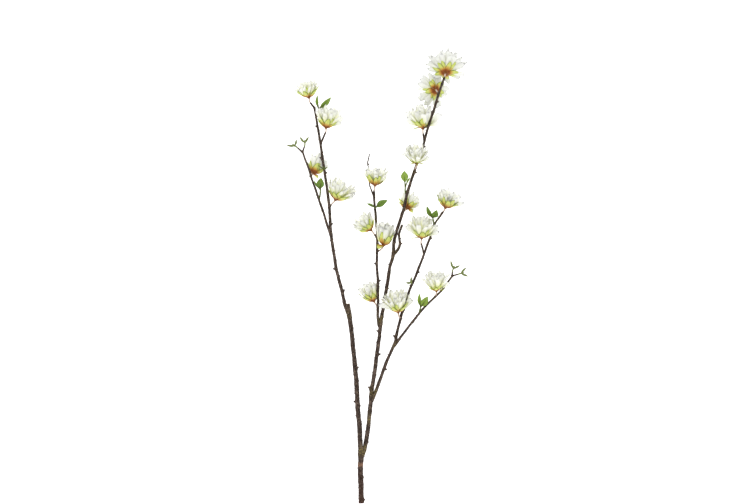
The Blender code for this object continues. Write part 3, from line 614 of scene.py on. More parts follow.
@dataclass(frozen=True)
class Blade:
    """One petal in its blossom's own frame, whose axis is +Z and whose base is the origin.

    Its claw is its width at the ring, and its tone is lowered to grey it with painted shade.
    """

    plan: WhorlPlan
    length: float
    width: float
    claw: float
    azimuth: float
    opening: float
    curl: float
    sway: float
    twist: float
    cup: float
    ripple: float
    phase: float
    painted_shade: float = 0.0

    def bent(self, turn: float, open_more: float, shrink: float) -> "Blade":
        """Return the same blade bent sideways, opened further and shortened."""
        return replace(self, sway=self.sway + turn, opening=self.opening + open_more,
                       length=self.length * shrink)

    def surface(self, shares: np.ndarray, across: np.ndarray) -> np.ndarray:
        """Work out points of the blade's middle surface.

        The share at a point is the row's share less a notch that deepens with its fifth power
        and follows a cosine across. Along the blade the angle from the axis is the opening, plus
        what is left of the level start after an exponential turn along the bowl, plus the curl
        times the cube of the share. Out and rise are the running sums of its sine and cosine.
        Across, a point stands half the width to the side; the edges cup inward with the square
        of the distance from the middle, and ripple along the length in a sine that grows with
        its cube. A crease runs along the middle, a bell curve across.

        Args:
            shares: shares of the length, 0 at the ring and 1 at the tip.
            across: shares of the half width, -1 to 1.

        Returns:
            An array by share, place across and axis.
        """
        fine = even(PROFILE_STEPS + 1)
        turning = (BOWL_ROOT_ANGLE - self.opening) * np.exp(-fine * self.length / BOWL_DEPTH)
        angle = np.radians(self.opening + turning + self.curl * fine ** 3)
        step = self.length / PROFILE_STEPS
        out = self.plan.ring_radius + step * (np.cumsum(np.sin(angle)) - np.sin(angle[0]))
        rise = self.plan.ring_height + step * (np.cumsum(np.cos(angle)) - np.cos(angle[0]))
        row = shares[:, None]
        notch = 0.5 - 0.5 * np.cos(2 * math.pi * (NOTCH_WAVES * across + self.phase))
        share = row * (1.0 - self.plan.notch * notch * row ** 5)
        out, rise, angle = (np.interp(share, fine, values) for values in (out, rise, angle))
        around = np.radians(self.azimuth + self.sway * share)
        none = np.zeros_like(share)
        radial = np.stack([np.cos(around), np.sin(around), none], axis=-1)
        level = np.stack([-np.sin(around), np.cos(around), none], axis=-1)
        sine, cosine = np.sin(angle)[..., None], np.cos(angle)[..., None]
        tangent = radial * sine + UP * cosine
        outward = radial * cosine - UP * sine
        spin = np.radians(self.twist * share)[..., None]
        side = level * np.cos(spin) + np.cross(tangent, level) * np.sin(spin)
        half = 0.5 * self.across_width(shares)[:, None]
        wave = np.sin(2 * math.pi * (RIPPLE_WAVES * row + self.phase + RIPPLE_SLANT * across))
        crease = CREASE_HEIGHT * np.exp(-(across / CREASE_SHARE) ** 2)
        push = (-self.cup * half * across ** 2 + crease * row
                + self.ripple * wave * np.abs(across) ** 3 * row)
        return (radial * out[..., None] + UP * rise[..., None]
                + side * (half * across)[..., None] + outward * push[..., None])

    def across_width(self, share: np.ndarray) -> np.ndarray:
        """Return the blade's width at shares of its length.

        It rises from the claw's as a power of a sine to the widest place. From there a factor
        brings it in, the root of one less a power of the rest of the length: the lower the
        power, the more pointed the tip.

        Args:
            share: shares of the length.

        Returns:
            The widths in metres.
        """
        widest = self.plan.widest
        rising = np.sin(0.5 * math.pi * np.minimum(share / widest, 1.0)) ** WIDENING_POWER
        beyond = np.maximum(share - widest, 0.0) / (1.0 - widest)
        return ((self.claw + (self.width - self.claw) * rising)
                * np.sqrt(np.maximum(1.0 - TIP_CLOSING * beyond ** self.plan.point, 0.0)))


# Ways to bend a blade clear, the smallest first: turn at the tip, closing and length share
TURNS = (0, 9, -9, 18, -18)
CLOSINGS = (0, 8, 16, 24, 32)
SHRINKS = (1.0, 0.86, 0.72)
SHRINK_COST = 120
BENDS = sorted(
    ((turn, close, shrink) for turn in TURNS for close in CLOSINGS for shrink in SHRINKS),
    key=lambda bend: abs(bend[0]) + bend[1] + SHRINK_COST * (1 - bend[2]))

# Where a blade is measured against its surroundings, and the grid of its finished surface
SAMPLE_SHARES = np.linspace(0.3, 1.0, 10)
SAMPLE_ACROSS = np.linspace(-1.0, 1.0, 5)
BLADE_SHARES = np.concatenate([np.linspace(0.0, 0.9, 12), [0.95, 0.98, 1.0]])
BLADE_ACROSS = np.linspace(-1.0, 1.0, 7)


# Degrees that petals swing away from a parting, and how wide it is
PARTING_SWING = 20
PARTING_WIDTH = 34


def turn_from(azimuth: float, side: float) -> float:
    """Return the turn in degrees from a side to an azimuth, between -180 and 180."""
    return (azimuth - side + 180) % 360 - 180


def part(blade: Blade, side: float) -> Blade:
    """Return a blade swung away from a side, the more the nearer it is."""
    turn = turn_from(blade.azimuth, side)
    swing = math.copysign(PARTING_SWING, turn) * math.exp(-(turn / PARTING_WIDTH) ** 2)
    return replace(blade, azimuth=blade.azimuth + swing)


def nearest(blades: list, side: float) -> Blade:
    """Return the blade whose direction is nearest to a side."""
    return min(blades, key=lambda blade: abs(turn_from(blade.azimuth, side)))


# How a green stalk starts inside its peg, and how strongly it holds its two directions
STALK_INSIDE = (-0.0006, 0.0004)
STALK_PULL = 0.9


def stalk_route(root: np.ndarray, peg_end: np.ndarray, end: np.ndarray, arrival: np.ndarray,
                count: int) -> np.ndarray:
    """Work out the route of a green stalk.

    It starts inside the tip of its woody peg, runs straight on for a moment, and bends as a
    cubic to arrive at its end in the given direction.

    Args:
        root: the peg's root.
        peg_end: the peg's end.
        end: the stalk's end.
        arrival: the direction at its end.
        count: the number of points in the bend.

    Returns:
        The points of the route.
    """
    along = unit(peg_end - root)
    bend_from = peg_end + (GAP + STRAIGHT_RUN) * along
    pull = STALK_PULL * np.linalg.norm(end - bend_from)
    bend = hermite(bend_from, along * pull, end, arrival * pull, count)
    return np.vstack([[peg_end + step * along for step in STALK_INSIDE], bend])


@dataclass(frozen=True)
class Heart:
    """The pistil's cone and the ring of slender stamens round it, in a blossom's own frame."""

    foot: float = 0.0052
    top: float = 0.0178
    cone_radius: float = 0.0027
    cone_length: float = 0.0140
    stamens: int = 20
    ring_radius: float = 0.0024
    ring_height: float = 0.0095
    stray_turns: tuple = (-6, 6)
    leans: tuple = (10, 34)
    lengths: tuple = (0.0065, 0.0092)
    radii: tuple = (0.0003, 0.0003, 0.00045, 0.0005, 0.0002)

    def add(self, shape: Shape, blossom: "Blossom", slot: int, draw: random.Random) -> None:
        """Add the cone, a half ellipse turned round the axis, and the stamens, which curve out.

        Args:
            shape: the shape that takes them in.
            blossom: the blossom whose frame they are in.
            slot: the material slot.
            draw: the seeded draws.
        """
        heights = np.linspace(self.foot, self.top, 10)
        radii = self.cone_radius * np.sqrt(1.0 - ((heights - self.foot) / self.cone_length) ** 2)
        add_tube(shape, blossom.placed(heights[:, None] * UP), radii, 10, slot, 0.2)
        share = even(len(self.radii))
        for index in range(self.stamens):
            around = math.radians(360 / self.stamens * index + draw.uniform(*self.stray_turns))
            lean = math.radians(draw.uniform(*self.leans))
            length = draw.uniform(*self.lengths)
            out = self.ring_radius + length * share * math.sin(lean) * (0.6 + 0.4 * share)
            rise = self.ring_height + length * share * math.cos(lean)
            path = np.column_stack([out * math.cos(around), out * math.sin(around), rise])
            add_tube(shape, blossom.placed(path), np.array(self.radii), 5, slot,
                     draw.uniform(0.4, 1.0))


# How full a ring of claws is, the turn between whorls in degrees, and the reach of what is near
ROOT_FILL = 0.82
WHORL_TURN = 23.0
NEAR_SHARE = 1.5

# Seeds of the draws, to which the blossom's number is added
BLADE_SEED = 40
PETAL_SEED = 80
CALYX_SEED = 120

# Thickness of petals and tepals
PETAL_THICKNESS = 0.00055
TEPAL_THICKNESS = 0.0007

# Spans of the seeded differences in a whorl: shares of the plan's values, and degrees
LENGTHS = (0.88, 1.03)
WIDTHS = (0.80, 1.12)
CUPS = (0.8, 1.2)
RIPPLES = (0.5, 1.4)
AZIMUTHS = (-6, 6)
SWAYS = (-7, 7)

# Single bent petals, greyed with painted shade, and drooping tepals
STRAY_CURL = 12
STRAY_TWIST = 95
STRAY_WIDTH = 1.15
STRAY_PAINTED_SHADE = 1.1
DROOP_OPENING = 70
DROOP_LENGTH = 0.75

# The cup: its height and largest radius as shares of the solid's, and the power of its widening
CUP_STRETCH = 1.25
CUP_SWELL = 1.22
CUP_POWER = 1.6

# Shares of its height below and above the rim, how far it closes, and how far below the base it is
CUP_RIM = 0.8
CUP_TOP = 0.2
CUP_CLOSING = 0.75
CUP_DROP = 0.0004


# The pedicel: how much thicker it is toward its ends, its thinnest place, and its knobs
PEDICEL_ENDS = 0.28
PEDICEL_MIDDLE = 0.45
PEDICEL_KNOBS = 0.18
KNOB_PITCH = 17


@dataclass
class Blossom:
    """One blossom: three whorls of white petals round a cone of stamens, and a calyx, cup and
    pedicel.

    Strays are outer petals given as their side, opening and share of the petal length, droops
    tepals given as their side, and the parting is the side where petals leave a gap. Sides are
    angles round the axis: 0 is level to the left of the axis, 90 upward and 180 level to the
    right. Warmth is the tepals' tone, and the span of the petals' tones makes them limer the
    higher it is and greys them with painted shade below 0. Flare adds degrees to the petals'
    curl, fullness scales their widths and many their number, and the calyx share scales the
    tepals.
    """

    number: int
    twig_root: tuple
    twig_end: tuple
    base: tuple
    heading: float
    rise: float
    petal_length: float
    opening: float
    strays: tuple = ()
    droops: tuple = ()
    warmth: float = 0.4
    calyx_share: float = 1.0
    flare: float = 0.0
    fullness: float = 1.0
    many: float = 1.0
    lime_and_shade: tuple = (0.4, 1.0)
    parting: float = 0.0

    def frame(self) -> Matrix:
        """Return the frame at the blossom's base whose +Z is its axis."""
        heading, rise = math.radians(self.heading), math.radians(self.rise)
        level = math.cos(rise)
        axis = Vector((level * math.cos(heading), level * math.sin(heading), math.sin(rise)))
        return Matrix.Translation(self.base) @ axis.to_track_quat("Z", "Y").to_matrix().to_4x4()

    def placed(self, points: np.ndarray) -> np.ndarray:
        """Return points of the blossom's own frame in the row frame."""
        turn = np.array(self.frame().to_3x3())
        return points @ turn.T + np.array(self.base)

    def whorl(self, kind: Whorl, draw: random.Random, start: float) -> list:
        """Set blades evenly round the axis, with small seeded differences.

        Args:
            kind: the whorl.
            draw: the seeded draws.
            start: the first blade's azimuth in degrees.

        Returns:
            The blades.
        """
        plan = kind.value
        count = plan.count if kind.green else round(self.many * plan.count)
        claw = ROOT_FILL * 2 * plan.ring_radius * math.sin(math.pi / count)
        length = plan.length * self.petal_length
        width = plan.width * self.petal_length
        if kind.green:
            length *= self.calyx_share
            width *= self.calyx_share
        else:
            width *= self.fullness
        return [
            Blade(
                plan, length * draw.uniform(*LENGTHS), width * draw.uniform(*WIDTHS), claw,
                azimuth=start + 360.0 * index / count + draw.uniform(*AZIMUTHS),
                opening=self.opening * plan.open_share + draw.uniform(-plan.spread, plan.spread),
                curl=draw.uniform(*plan.curl) + self.flare * plan.flare_share,
                sway=draw.uniform(*SWAYS), twist=draw.uniform(-plan.twist, plan.twist),
                cup=plan.cup * draw.uniform(*CUPS), ripple=plan.ripple * draw.uniform(*RIPPLES),
                phase=draw.uniform(0, 1))
            for index in range(count)]

    def droop(self, blades: list) -> None:
        """Open and shorten the tepals that droop, in place."""
        for side in self.droops:
            blade = nearest(blades, side)
            blades[blades.index(blade)] = replace(
                blade, opening=blade.opening + DROOP_OPENING, length=DROOP_LENGTH * blade.length)

    def stray(self, blades: list) -> None:
        """Let the outer petals nearest the strays' sides stand out singly in painted shade, in
        place.
        """
        for side, opening, share in self.strays:
            blade = nearest([blade for blade in blades if not blade.painted_shade], side)
            blades[blades.index(blade)] = replace(
                blade, azimuth=side, opening=opening, curl=STRAY_CURL, sway=0.0,
                twist=STRAY_TWIST * abs(math.cos(math.radians(side))),
                length=share * self.petal_length, width=STRAY_WIDTH * blade.width,
                painted_shade=STRAY_PAINTED_SHADE)

    def blades(self, around: Surroundings) -> dict:
        """Work out the blades of every whorl, each bent clear of what is near it.

        Args:
            around: what the blades are bent clear of.

        Returns:
            The blades by whorl.
        """
        draw = random.Random(BLADE_SEED + self.number)
        start = draw.uniform(0, 360)
        nearby = around.near(np.array(self.base), NEAR_SHARE * self.petal_length)
        whorls = {}
        for step, kind in enumerate(Whorl):
            blades = self.whorl(kind, draw, start + WHORL_TURN * step)
            if kind is Whorl.CALYX:
                self.droop(blades)
            if kind is Whorl.OUTER:
                self.stray(blades)
            if kind in (Whorl.OUTER, Whorl.MIDDLE) and self.parting:
                blades = [part(blade, self.parting) for blade in blades]
            whorls[kind] = self.clear(blades, around, nearby, 1 if kind.green else -1)
        return whorls

    def clear(self, blades: list, around: Surroundings, nearby: tuple, sign: int) -> list:
        """Return each blade in its least bent form that is clear, leaving out any with none.

        Args:
            blades: the blades of one whorl.
            around: what they are bent clear of.
            nearby: what around.near() returned.
            sign: 1 to bend them open and -1 to close them.

        Returns:
            The blades that were kept.
        """
        kept, siblings = [], []
        for blade in blades:
            for turn, close, shrink in BENDS:
                bent = blade.bent(turn, sign * close, shrink)
                samples = self.placed(bent.surface(SAMPLE_SHARES, SAMPLE_ACROSS)).reshape(-1, 3)
                if around.margin(samples, nearby, siblings, FLOOR_CLEAR) >= 0.0:
                    kept.append(bent)
                    siblings.append(samples)
                    break
        return kept

    def add_whorl(self, shape: Shape, blades: list, thickness: float, draw: random.Random,
                  tone_span: tuple) -> None:
        """Add a whorl's blades to a shape as thin solids, with tones drawn from a span.

        Args:
            shape: the shape that takes them in.
            blades: the whorl's blades.
            thickness: their thickness.
            draw: the seeded draws.
            tone_span: the tones' span.
        """
        grids = np.stack([self.placed(blade.surface(BLADE_SHARES, BLADE_ACROSS))
                          for blade in blades])
        # A stray's tone drops below 0, which greys it with painted shade
        tones = np.array([draw.uniform(*tone_span) - blade.painted_shade for blade in blades])
        add_sheets(shape, grids, thickness, 0, tones)

    def add_cup(self, shape: Shape) -> None:
        """Add the cup, a round body along the axis.

        Its radius eases from the pedicel's to the calyx ring's with a power of the sine of its
        height, and above the rim it closes with the square of the height.
        """
        share = even(12)
        rise = CUP_HEIGHT * CUP_STRETCH * share - CUP_DROP
        radii = CUP_RADII[0] + (CUP_SWELL * CUP_RADII[1] - CUP_RADII[0]) * np.sin(
            0.5 * math.pi * np.minimum(share / CUP_RIM, 1.0)) ** CUP_POWER
        closing = 1.0 - CUP_CLOSING * ((share - CUP_RIM) / CUP_TOP) ** 2
        radii = radii * np.where(share > CUP_RIM, closing, 1.0)
        add_tube(shape, self.placed(rise[:, None] * UP), radii, 20, 1, 0.5)

    def add_pedicel(self, shape: Shape) -> None:
        """Add the pedicel, from inside its twig to inside the cup.

        It is thicker toward its ends, with the square of the distance from its middle, and
        swells here and there with a power of a sine of its length.
        """
        inverse = np.array(self.frame().inverted())
        root, end = (inverse[:3, :3] @ np.array(place) + inverse[:3, 3]
                     for place in (self.twig_root, self.twig_end))
        route = stalk_route(root, end, 0.4 * CUP_HEIGHT * UP, UP, 9)
        share = even(len(route))
        ends = PEDICEL_ENDS * (share - PEDICEL_MIDDLE) ** 2
        knobs = PEDICEL_KNOBS * np.sin(KNOB_PITCH * share) ** 4
        radii = PEDICEL_RADIUS * (1.0 + ends + knobs)
        add_tube(shape, self.placed(route), radii, 14, 2, share[:, None])

    def build_petals(self, whorls: dict, materials: dict) -> bpy.types.Object:
        """Make the white petals and the stamens as one piece.

        Args:
            whorls: the blades by whorl.
            materials: materials by name.

        Returns:
            The object.
        """
        draw = random.Random(PETAL_SEED + self.number)
        shape = Shape()
        for kind in (Whorl.OUTER, Whorl.MIDDLE, Whorl.INNER):
            self.add_whorl(shape, whorls[kind], PETAL_THICKNESS, draw, self.lime_and_shade)
        Heart().add(shape, self, 1, draw)
        return shape.make("blossom_%02d" % self.number, [materials["petal"], materials["stamen"]])

    def build_calyx(self, whorls: dict, materials: dict) -> bpy.types.Object:
        """Make the calyx, its cup and the pedicel as one piece.

        Args:
            whorls: the blades by whorl.
            materials: materials by name.

        Returns:
            The object.
        """
        draw = random.Random(CALYX_SEED + self.number)
        shape = Shape()
        tone_span = (self.warmth - 0.1, self.warmth + 0.1)
        for kind in (Whorl.CALYX, Whorl.COLLAR):
            self.add_whorl(shape, whorls[kind], TEPAL_THICKNESS, draw, tone_span)
        self.add_cup(shape)
        self.add_pedicel(shape)
        return shape.make("calyx_%02d" % self.number,
                          [materials["tepal"], materials["cup"], materials["pedicel"]])


BLOSSOMS = (
    Blossom(1, (-0.1665, 0.446, 0.053), (-0.1770, 0.460, 0.053), (-0.1805, 0.471, 0.053),
            100, -5, 0.045, 21, ((0, 36, 0.9),), warmth=0.15, calyx_share=1.2,
            fullness=0.92, many=1.3),
    Blossom(2, (-0.1500, 0.352, 0.052), (-0.1370, 0.382, 0.053), (-0.1365, 0.391, 0.054),
            79, -8, 0.060, 22, ((180, 31, 0.92), (165, 54, 0.66)), warmth=0.35,
            fullness=0.86, many=1.25),
    Blossom(3, (-0.1770, 0.268, 0.054), (-0.1750, 0.268, 0.046), (-0.1715, 0.272, 0.0405),
            66, -30, 0.052, 10, (), (200,), warmth=0.7, calyx_share=1.0, lime_and_shade=(0.0, 0.4)),
    Blossom(4, (-0.1285, 0.182, 0.043), (-0.1230, 0.190, 0.0400), (-0.1130, 0.201, 0.0369),
            62, 0, 0.059, 24, ((180, 26, 0.9), (165, 39, 0.76)), warmth=0.5,
            fullness=0.8, many=1.35),
    Blossom(5, (-0.0095, 0.220, 0.051), (-0.0090, 0.228, 0.052), (-0.0070, 0.239, 0.054),
            86, 4, 0.050, 16, warmth=0.9, calyx_share=1.25),
    Blossom(6, (-0.0010, 0.102, 0.044), (-0.0080, 0.112, 0.046), (-0.0150, 0.122, 0.048),
            133, 0, 0.049, 16, warmth=0.3, calyx_share=1.15),
    Blossom(7, (-0.0005, 0.068, 0.043), (0.0045, 0.070, 0.046), (0.0150, 0.080, 0.048),
            82, 6, 0.061, 6, (), (30, 90), warmth=0.9, calyx_share=1.15),
    Blossom(8, (0.0680, 0.176, 0.0505), (0.0710, 0.175, 0.0430), (0.0750, 0.180, 0.0370),
            66, -36, 0.042, 22, (), (20, 200), warmth=0.8, calyx_share=1.1, lime_and_shade=(0.0, 0.5)),
    Blossom(9, (0.1230, 0.061, 0.041), (0.1155, 0.088, 0.046), (0.1165, 0.099, 0.048),
            88, 4, 0.061, 22, ((10, 42, 0.85), (180, 46, 0.9), (165, 60, 0.8)), (10,), warmth=0.2,
            fullness=0.86, many=1.25),
    Blossom(10, (0.1700, 0.168, 0.039), (0.1735, 0.172, 0.0355), (0.1785, 0.180, 0.0302),
            72, 0, 0.051, 19, ((180, 44, 0.95),), warmth=0.8, calyx_share=1.2, lime_and_shade=(0.0, 0.5)),
    Blossom(11, (0.0960, 0.278, 0.054), (0.0990, 0.285, 0.060), (0.1035, 0.296, 0.065),
            92, 14, 0.050, 22, ((180, 50, 0.7),), (10, 90, 180), warmth=0.2, calyx_share=0.65,
            fullness=0.98, many=1.35, lime_and_shade=(0.0, 0.6)),
    Blossom(12, (0.1235, 0.360, 0.0565), (0.1205, 0.378, 0.053), (0.1200, 0.389, 0.050),
            91, 0, 0.062, 23, ((0, 32, 1.0), (10, 46, 0.8), (112, 34, 0.9), (196, 43, 1.0),
                               (200, 63, 0.7)), (10,), warmth=0.35,
            fullness=1.18, lime_and_shade=(0.3, 0.9)),
    # Blossoms 13 and 14 take petal tones below 0, which grey them with painted shade
    Blossom(13, (0.1610, 0.481, 0.060), (0.1590, 0.486, 0.056), (0.1540, 0.495, 0.051),
            184, -70, 0.054, 36, warmth=0.45, calyx_share=0.85, flare=14, fullness=1.1,
            many=1.15, lime_and_shade=(-0.65, -0.35), parting=88.0),
    Blossom(14, (0.1740, 0.520, 0.061), (0.1765, 0.528, 0.0615), (0.1790, 0.536, 0.062),
            84, -46, 0.062, 38, warmth=0.4, calyx_share=0.9, flare=36, fullness=1.0,
            many=1.3, lime_and_shade=(-0.65, -0.35)),
    Blossom(15, (0.0016, -0.092, 0.0345), (-0.0012, -0.080, 0.031), (-0.0080, -0.067, 0.030),
            114, -8, 0.052, 14, warmth=0.4),
    Blossom(16, (0.0630, -0.102, 0.033), (0.0600, -0.106, 0.037), (0.0550, -0.096, 0.046),
            96, 14, 0.060, 19, ((18, 48, 0.95), (165, 31, 0.85), (180, 40, 0.8)), warmth=0.5,
            calyx_share=1.05, fullness=0.84, many=1.3),
    Blossom(17, (0.1520, -0.053, 0.037), (0.1535, -0.049, 0.041), (0.1560, -0.040, 0.045),
            94, 4, 0.053, 18, ((170, 52, 0.75),), (180,), warmth=0.1, calyx_share=0.75,
            fullness=0.84, many=1.3),
)


# The waves of a leaf's margin, the power of its edges' lift, and the half width of its petiole
MARGIN_WAVES = 3.3
LIFT_POWER = 1.4
PETIOLE_HALF = 0.0008
PETIOLE_TAPER = 0.0003


def leaf_grid(base: np.ndarray, tip: np.ndarray, width: float, roll: float, rows: int,
              columns: int, fold: float, arch: float, ripple: float = 0.0,
              petiole: float = 0.10, form: tuple = (0.85, 0.9)) -> np.ndarray:
    """Work out the middle surface of a leaf on its petiole.

    The half width is a power of the sine of a power of the blade's share of the length, the
    higher the powers the later its widest place and the slimmer its ends. The edges lift
    with the fold, the midrib arches as share times (1 - share), and the margin ripples.

    Args:
        base: the petiole's start.
        tip: the leaf's tip.
        width: the largest width.
        roll: the turn of the blade about its midrib in degrees.
        rows: points along the leaf.
        columns: points across it.
        fold: the edges' lift as a share of the width.
        arch: the midrib's arch as a share of the length.
        ripple: the height of the margin's waves.
        petiole: the share of the length that is bare.
        form: the power of the share and the power of the sine.

    Returns:
        An array by row, column and axis.
    """
    along = unit(tip - base)
    level = unit(np.cross(along, UP))
    raised = np.cross(level, along)
    roll = math.radians(roll)
    side = level * math.cos(roll) + raised * math.sin(roll)
    normal = np.cross(side, along)
    share = even(rows)
    lamina = np.clip((share - petiole) / (1.0 - petiole), 0.0, 1.0)
    half = np.maximum(0.5 * width * np.sin(math.pi * lamina ** form[0]) ** form[1],
                      PETIOLE_HALF - PETIOLE_TAPER * share)
    across = np.linspace(-1.0, 1.0, columns)
    length = np.linalg.norm(tip - base)
    middle = base + (tip - base) * share[:, None]
    middle = middle + normal * (arch * length * share * (1 - share))[:, None]
    wave = ripple * np.sin(2 * math.pi * MARGIN_WAVES * share)[:, None]
    wave = wave * across * np.abs(across) ** 2
    lift = (2 * fold * half[:, None] * np.abs(across) ** LIFT_POWER
            + wave * half[:, None] / half.max())
    return (middle[:, None, :] + side * (half[:, None] * across)[..., None]
            + normal * lift[..., None])


@dataclass
class Green:
    """A green stalk on its woody peg."""

    bend_points: ClassVar[int] = 9
    number: int
    peg_root: tuple
    peg_end: tuple
    stalk_end: tuple

    def route(self) -> np.ndarray:
        """Return the stalk's route, which ends in the direction from the peg to its end."""
        root, peg_end, end = (np.array(place) for place in
                              (self.peg_root, self.peg_end, self.stalk_end))
        return stalk_route(root, peg_end, end, unit(end - peg_end), self.bend_points)


# The grid of a leaf, and the rows that its petiole and midrib take, with their taper
LEAF_ROWS = 26
LEAF_COLUMNS = 11
RIB_ROWS = 20
RIB_TAPER = (1.3, 0.16)

# Thickness of grown and of young leaves
LEAF_THICKNESS = 0.0006
YOUNG_LEAF_THICKNESS = 0.0007

# A sprout's bud: its length, its start inside the stalk, and its sine's span and power
BUD_LENGTH = 0.0085
BUD_INSIDE = 0.0015
BUD_SPAN = (0.22, 0.77)
BUD_POWER = 0.8


@dataclass
class LeafShoot(Green):
    """A green stalk with its leaves, each given as its tip, width and roll.

    Lime is the leaves' tone. The petiole is a share of a leaf's length, and the form the two
    powers of its outline.
    """

    leaves: tuple
    lime: float = 0.3
    petiole: float = 0.10
    form: tuple = (0.85, 0.9)

    def grids(self) -> list:
        """Return the leaves' middle surfaces."""
        route = self.route()
        inside = route[-1] - LEAF_STALK_RADIUS * unit(route[-1] - route[-2])
        return [leaf_grid(inside, np.array(tip), width, roll, LEAF_ROWS, LEAF_COLUMNS, fold=0.16,
                          arch=0.4, ripple=0.0004, petiole=self.petiole, form=self.form)
                for tip, width, roll in self.leaves]

    def build(self, materials: dict) -> bpy.types.Object:
        """Make the stalk, a petiole that tapers into each midrib, and the leaves."""
        shape = Shape()
        route = self.route()
        radii = np.linspace(1.15, 1.0, len(route)) * LEAF_STALK_RADIUS
        add_tube(shape, route, radii, 12, 1, 0.4)
        for grid in self.grids():
            add_sheets(shape, grid[None], LEAF_THICKNESS, 0, np.array([self.lime]))
            taper = LEAF_STALK_RADIUS * np.minimum(np.linspace(*RIB_TAPER, RIB_ROWS), 1.0)
            add_tube(shape, grid[:RIB_ROWS, LEAF_COLUMNS // 2], taper, 8, 1, 0.8)
        return shape.make("leaves_%d" % self.number, [materials["leaf"], materials["stalk"]])


LEAF_SHOOTS = (
    LeafShoot(1, (-0.1625, 0.421, 0.053), (-0.1580, 0.427, 0.055), (-0.1555, 0.446, 0.059),
              (((-0.158, 0.481, 0.065), 0.010, 35), ((-0.122, 0.475, 0.066), 0.015, -20)), 0.6),
    LeafShoot(2, (-0.1545, 0.204, 0.049), (-0.1530, 0.210, 0.052), (-0.1505, 0.233, 0.057),
              (((-0.1490, 0.262, 0.062), 0.021, 10), ((-0.168, 0.256, 0.060), 0.006, 30))),
    LeafShoot(3, (-0.0070, 0.178, 0.048), (-0.0060, 0.182, 0.052), (-0.0055, 0.184, 0.055),
              (((0.027, 0.203, 0.060), 0.017, 15), ((-0.030, 0.194, 0.058), 0.008, -25)), 0.25),
    LeafShoot(4, (0.0765, 0.216, 0.053), (0.0740, 0.223, 0.056), (0.0730, 0.238, 0.061),
              (((0.0705, 0.281, 0.068), 0.0200, 0), ((0.0866, 0.263, 0.067), 0.0062, 30)), 0.9,
              0.26, (1.16, 1.15)),
    LeafShoot(5, (0.1500, 0.136, 0.041), (0.1490, 0.141, 0.045), (0.1460, 0.157, 0.050),
              (((0.130, 0.188, 0.056), 0.013, 28), ((0.157, 0.177, 0.058), 0.0180, -12))),
    LeafShoot(6, (0.1100, -0.097, 0.034), (0.1110, -0.092, 0.038), (0.1145, -0.078, 0.042),
              (((0.111, -0.043, 0.047), 0.011, 20), ((0.133, -0.051, 0.049), 0.019, -10)), 0.8),
)


@dataclass
class Sprout(Green):
    """A bud sprout: a short stalk, narrow young leaves that part from its end, and a bud, all
    in one finish."""

    bend_points: ClassVar[int] = 7
    tips: tuple
    leaf_width: float = 0.0060
    bud_radius: float = 0.0034
    finish: str = "sprout"

    def build(self, materials: dict) -> bpy.types.Object:
        """Make the stalk, the young leaves and the bud between them.

        The bud's radius is a power of a sine of its length, from a little after the sine's
        start to just before its end.
        """
        shape = Shape()
        route = self.route()
        arrival = unit(route[-1] - route[-2])
        radii = np.linspace(1.0, 1.35, len(route)) * SPROUT_RADIUS
        add_tube(shape, route, radii, 12, 0, np.linspace(0.0, 0.3, len(route))[:, None])
        base = route[-1] - 2 * SPROUT_RADIUS * arrival
        grids = [leaf_grid(base, np.array(tip), self.leaf_width, roll=10, rows=16, columns=7,
                           fold=0.30, arch=0.10)
                 for tip in self.tips]
        add_sheets(shape, np.stack(grids), YOUNG_LEAF_THICKNESS, 0,
                   np.linspace(0.35, 0.7, len(grids)))
        share = even(9)
        bud = route[-1] + arrival * (BUD_LENGTH * share - BUD_INSIDE)[:, None]
        swelling = np.sin(math.pi * (BUD_SPAN[0] + BUD_SPAN[1] * share)) ** BUD_POWER
        add_tube(shape, bud, self.bud_radius * swelling, 10, 0, 0.9)
        return shape.make("sprout_green_%d" % self.number, [materials[self.finish]])


SPROUTS = (
    Sprout(1, (-0.1990, 0.3305, 0.0548), (-0.211, 0.341, 0.056), (-0.220, 0.347, 0.057),
           ((-0.241, 0.348, 0.059), (-0.213, 0.364, 0.060))),
    Sprout(2, (-0.1980, 0.3300, 0.0552), (-0.193, 0.344, 0.057), (-0.1915, 0.356, 0.059),
           ((-0.206, 0.371, 0.059), (-0.181, 0.371, 0.058))),
    Sprout(3, (0.1970, 0.0015, 0.0398), (0.198, 0.013, 0.042), (0.201, 0.024, 0.043),
           ((0.193, 0.045, 0.045), (0.219, 0.031, 0.044))),
    Sprout(4, (0.1965, 0.0025, 0.0402), (0.212, 0.007, 0.041), (0.2225, 0.010, 0.041),
           ((0.236, 0.026, 0.043), (0.241, 0.001, 0.041))),
    Sprout(5, (0.0900, -0.022, 0.0385), (0.0895, -0.018, 0.043), (0.0890, -0.013, 0.047),
           ((0.074, -0.015, 0.050), (0.0895, 0.001, 0.050))),
    Sprout(6, (-0.1400, 0.281, 0.0485), (-0.1405, 0.284, 0.053), (-0.1410, 0.287, 0.056),
           ((-0.157, 0.295, 0.059), (-0.1285, 0.292, 0.059)), 0.0032, 0.0018, "stalk"),
)


@dataclass(frozen=True)
class Spur:
    """A short side bud or stub: the share of its run's length, its side in degrees round the
    run, its length, its radius and its lean from the run in degrees."""

    share: float
    side: float
    length: float
    radius: float
    lean: float = 48.0


class EndForm(Enum):
    """How a run of wood ends: rises beyond its last ring, and ring sizes, as shares of the
    radius there."""

    ROUND = ((0.34, 0.94), (0.62, 0.78), (0.83, 0.52), (0.95, 0.24))
    CUT = ((0.03, 0.96), (0.06, 0.86))
    POINTED = ((0.6, 0.72), (1.3, 0.42), (1.9, 0.16))


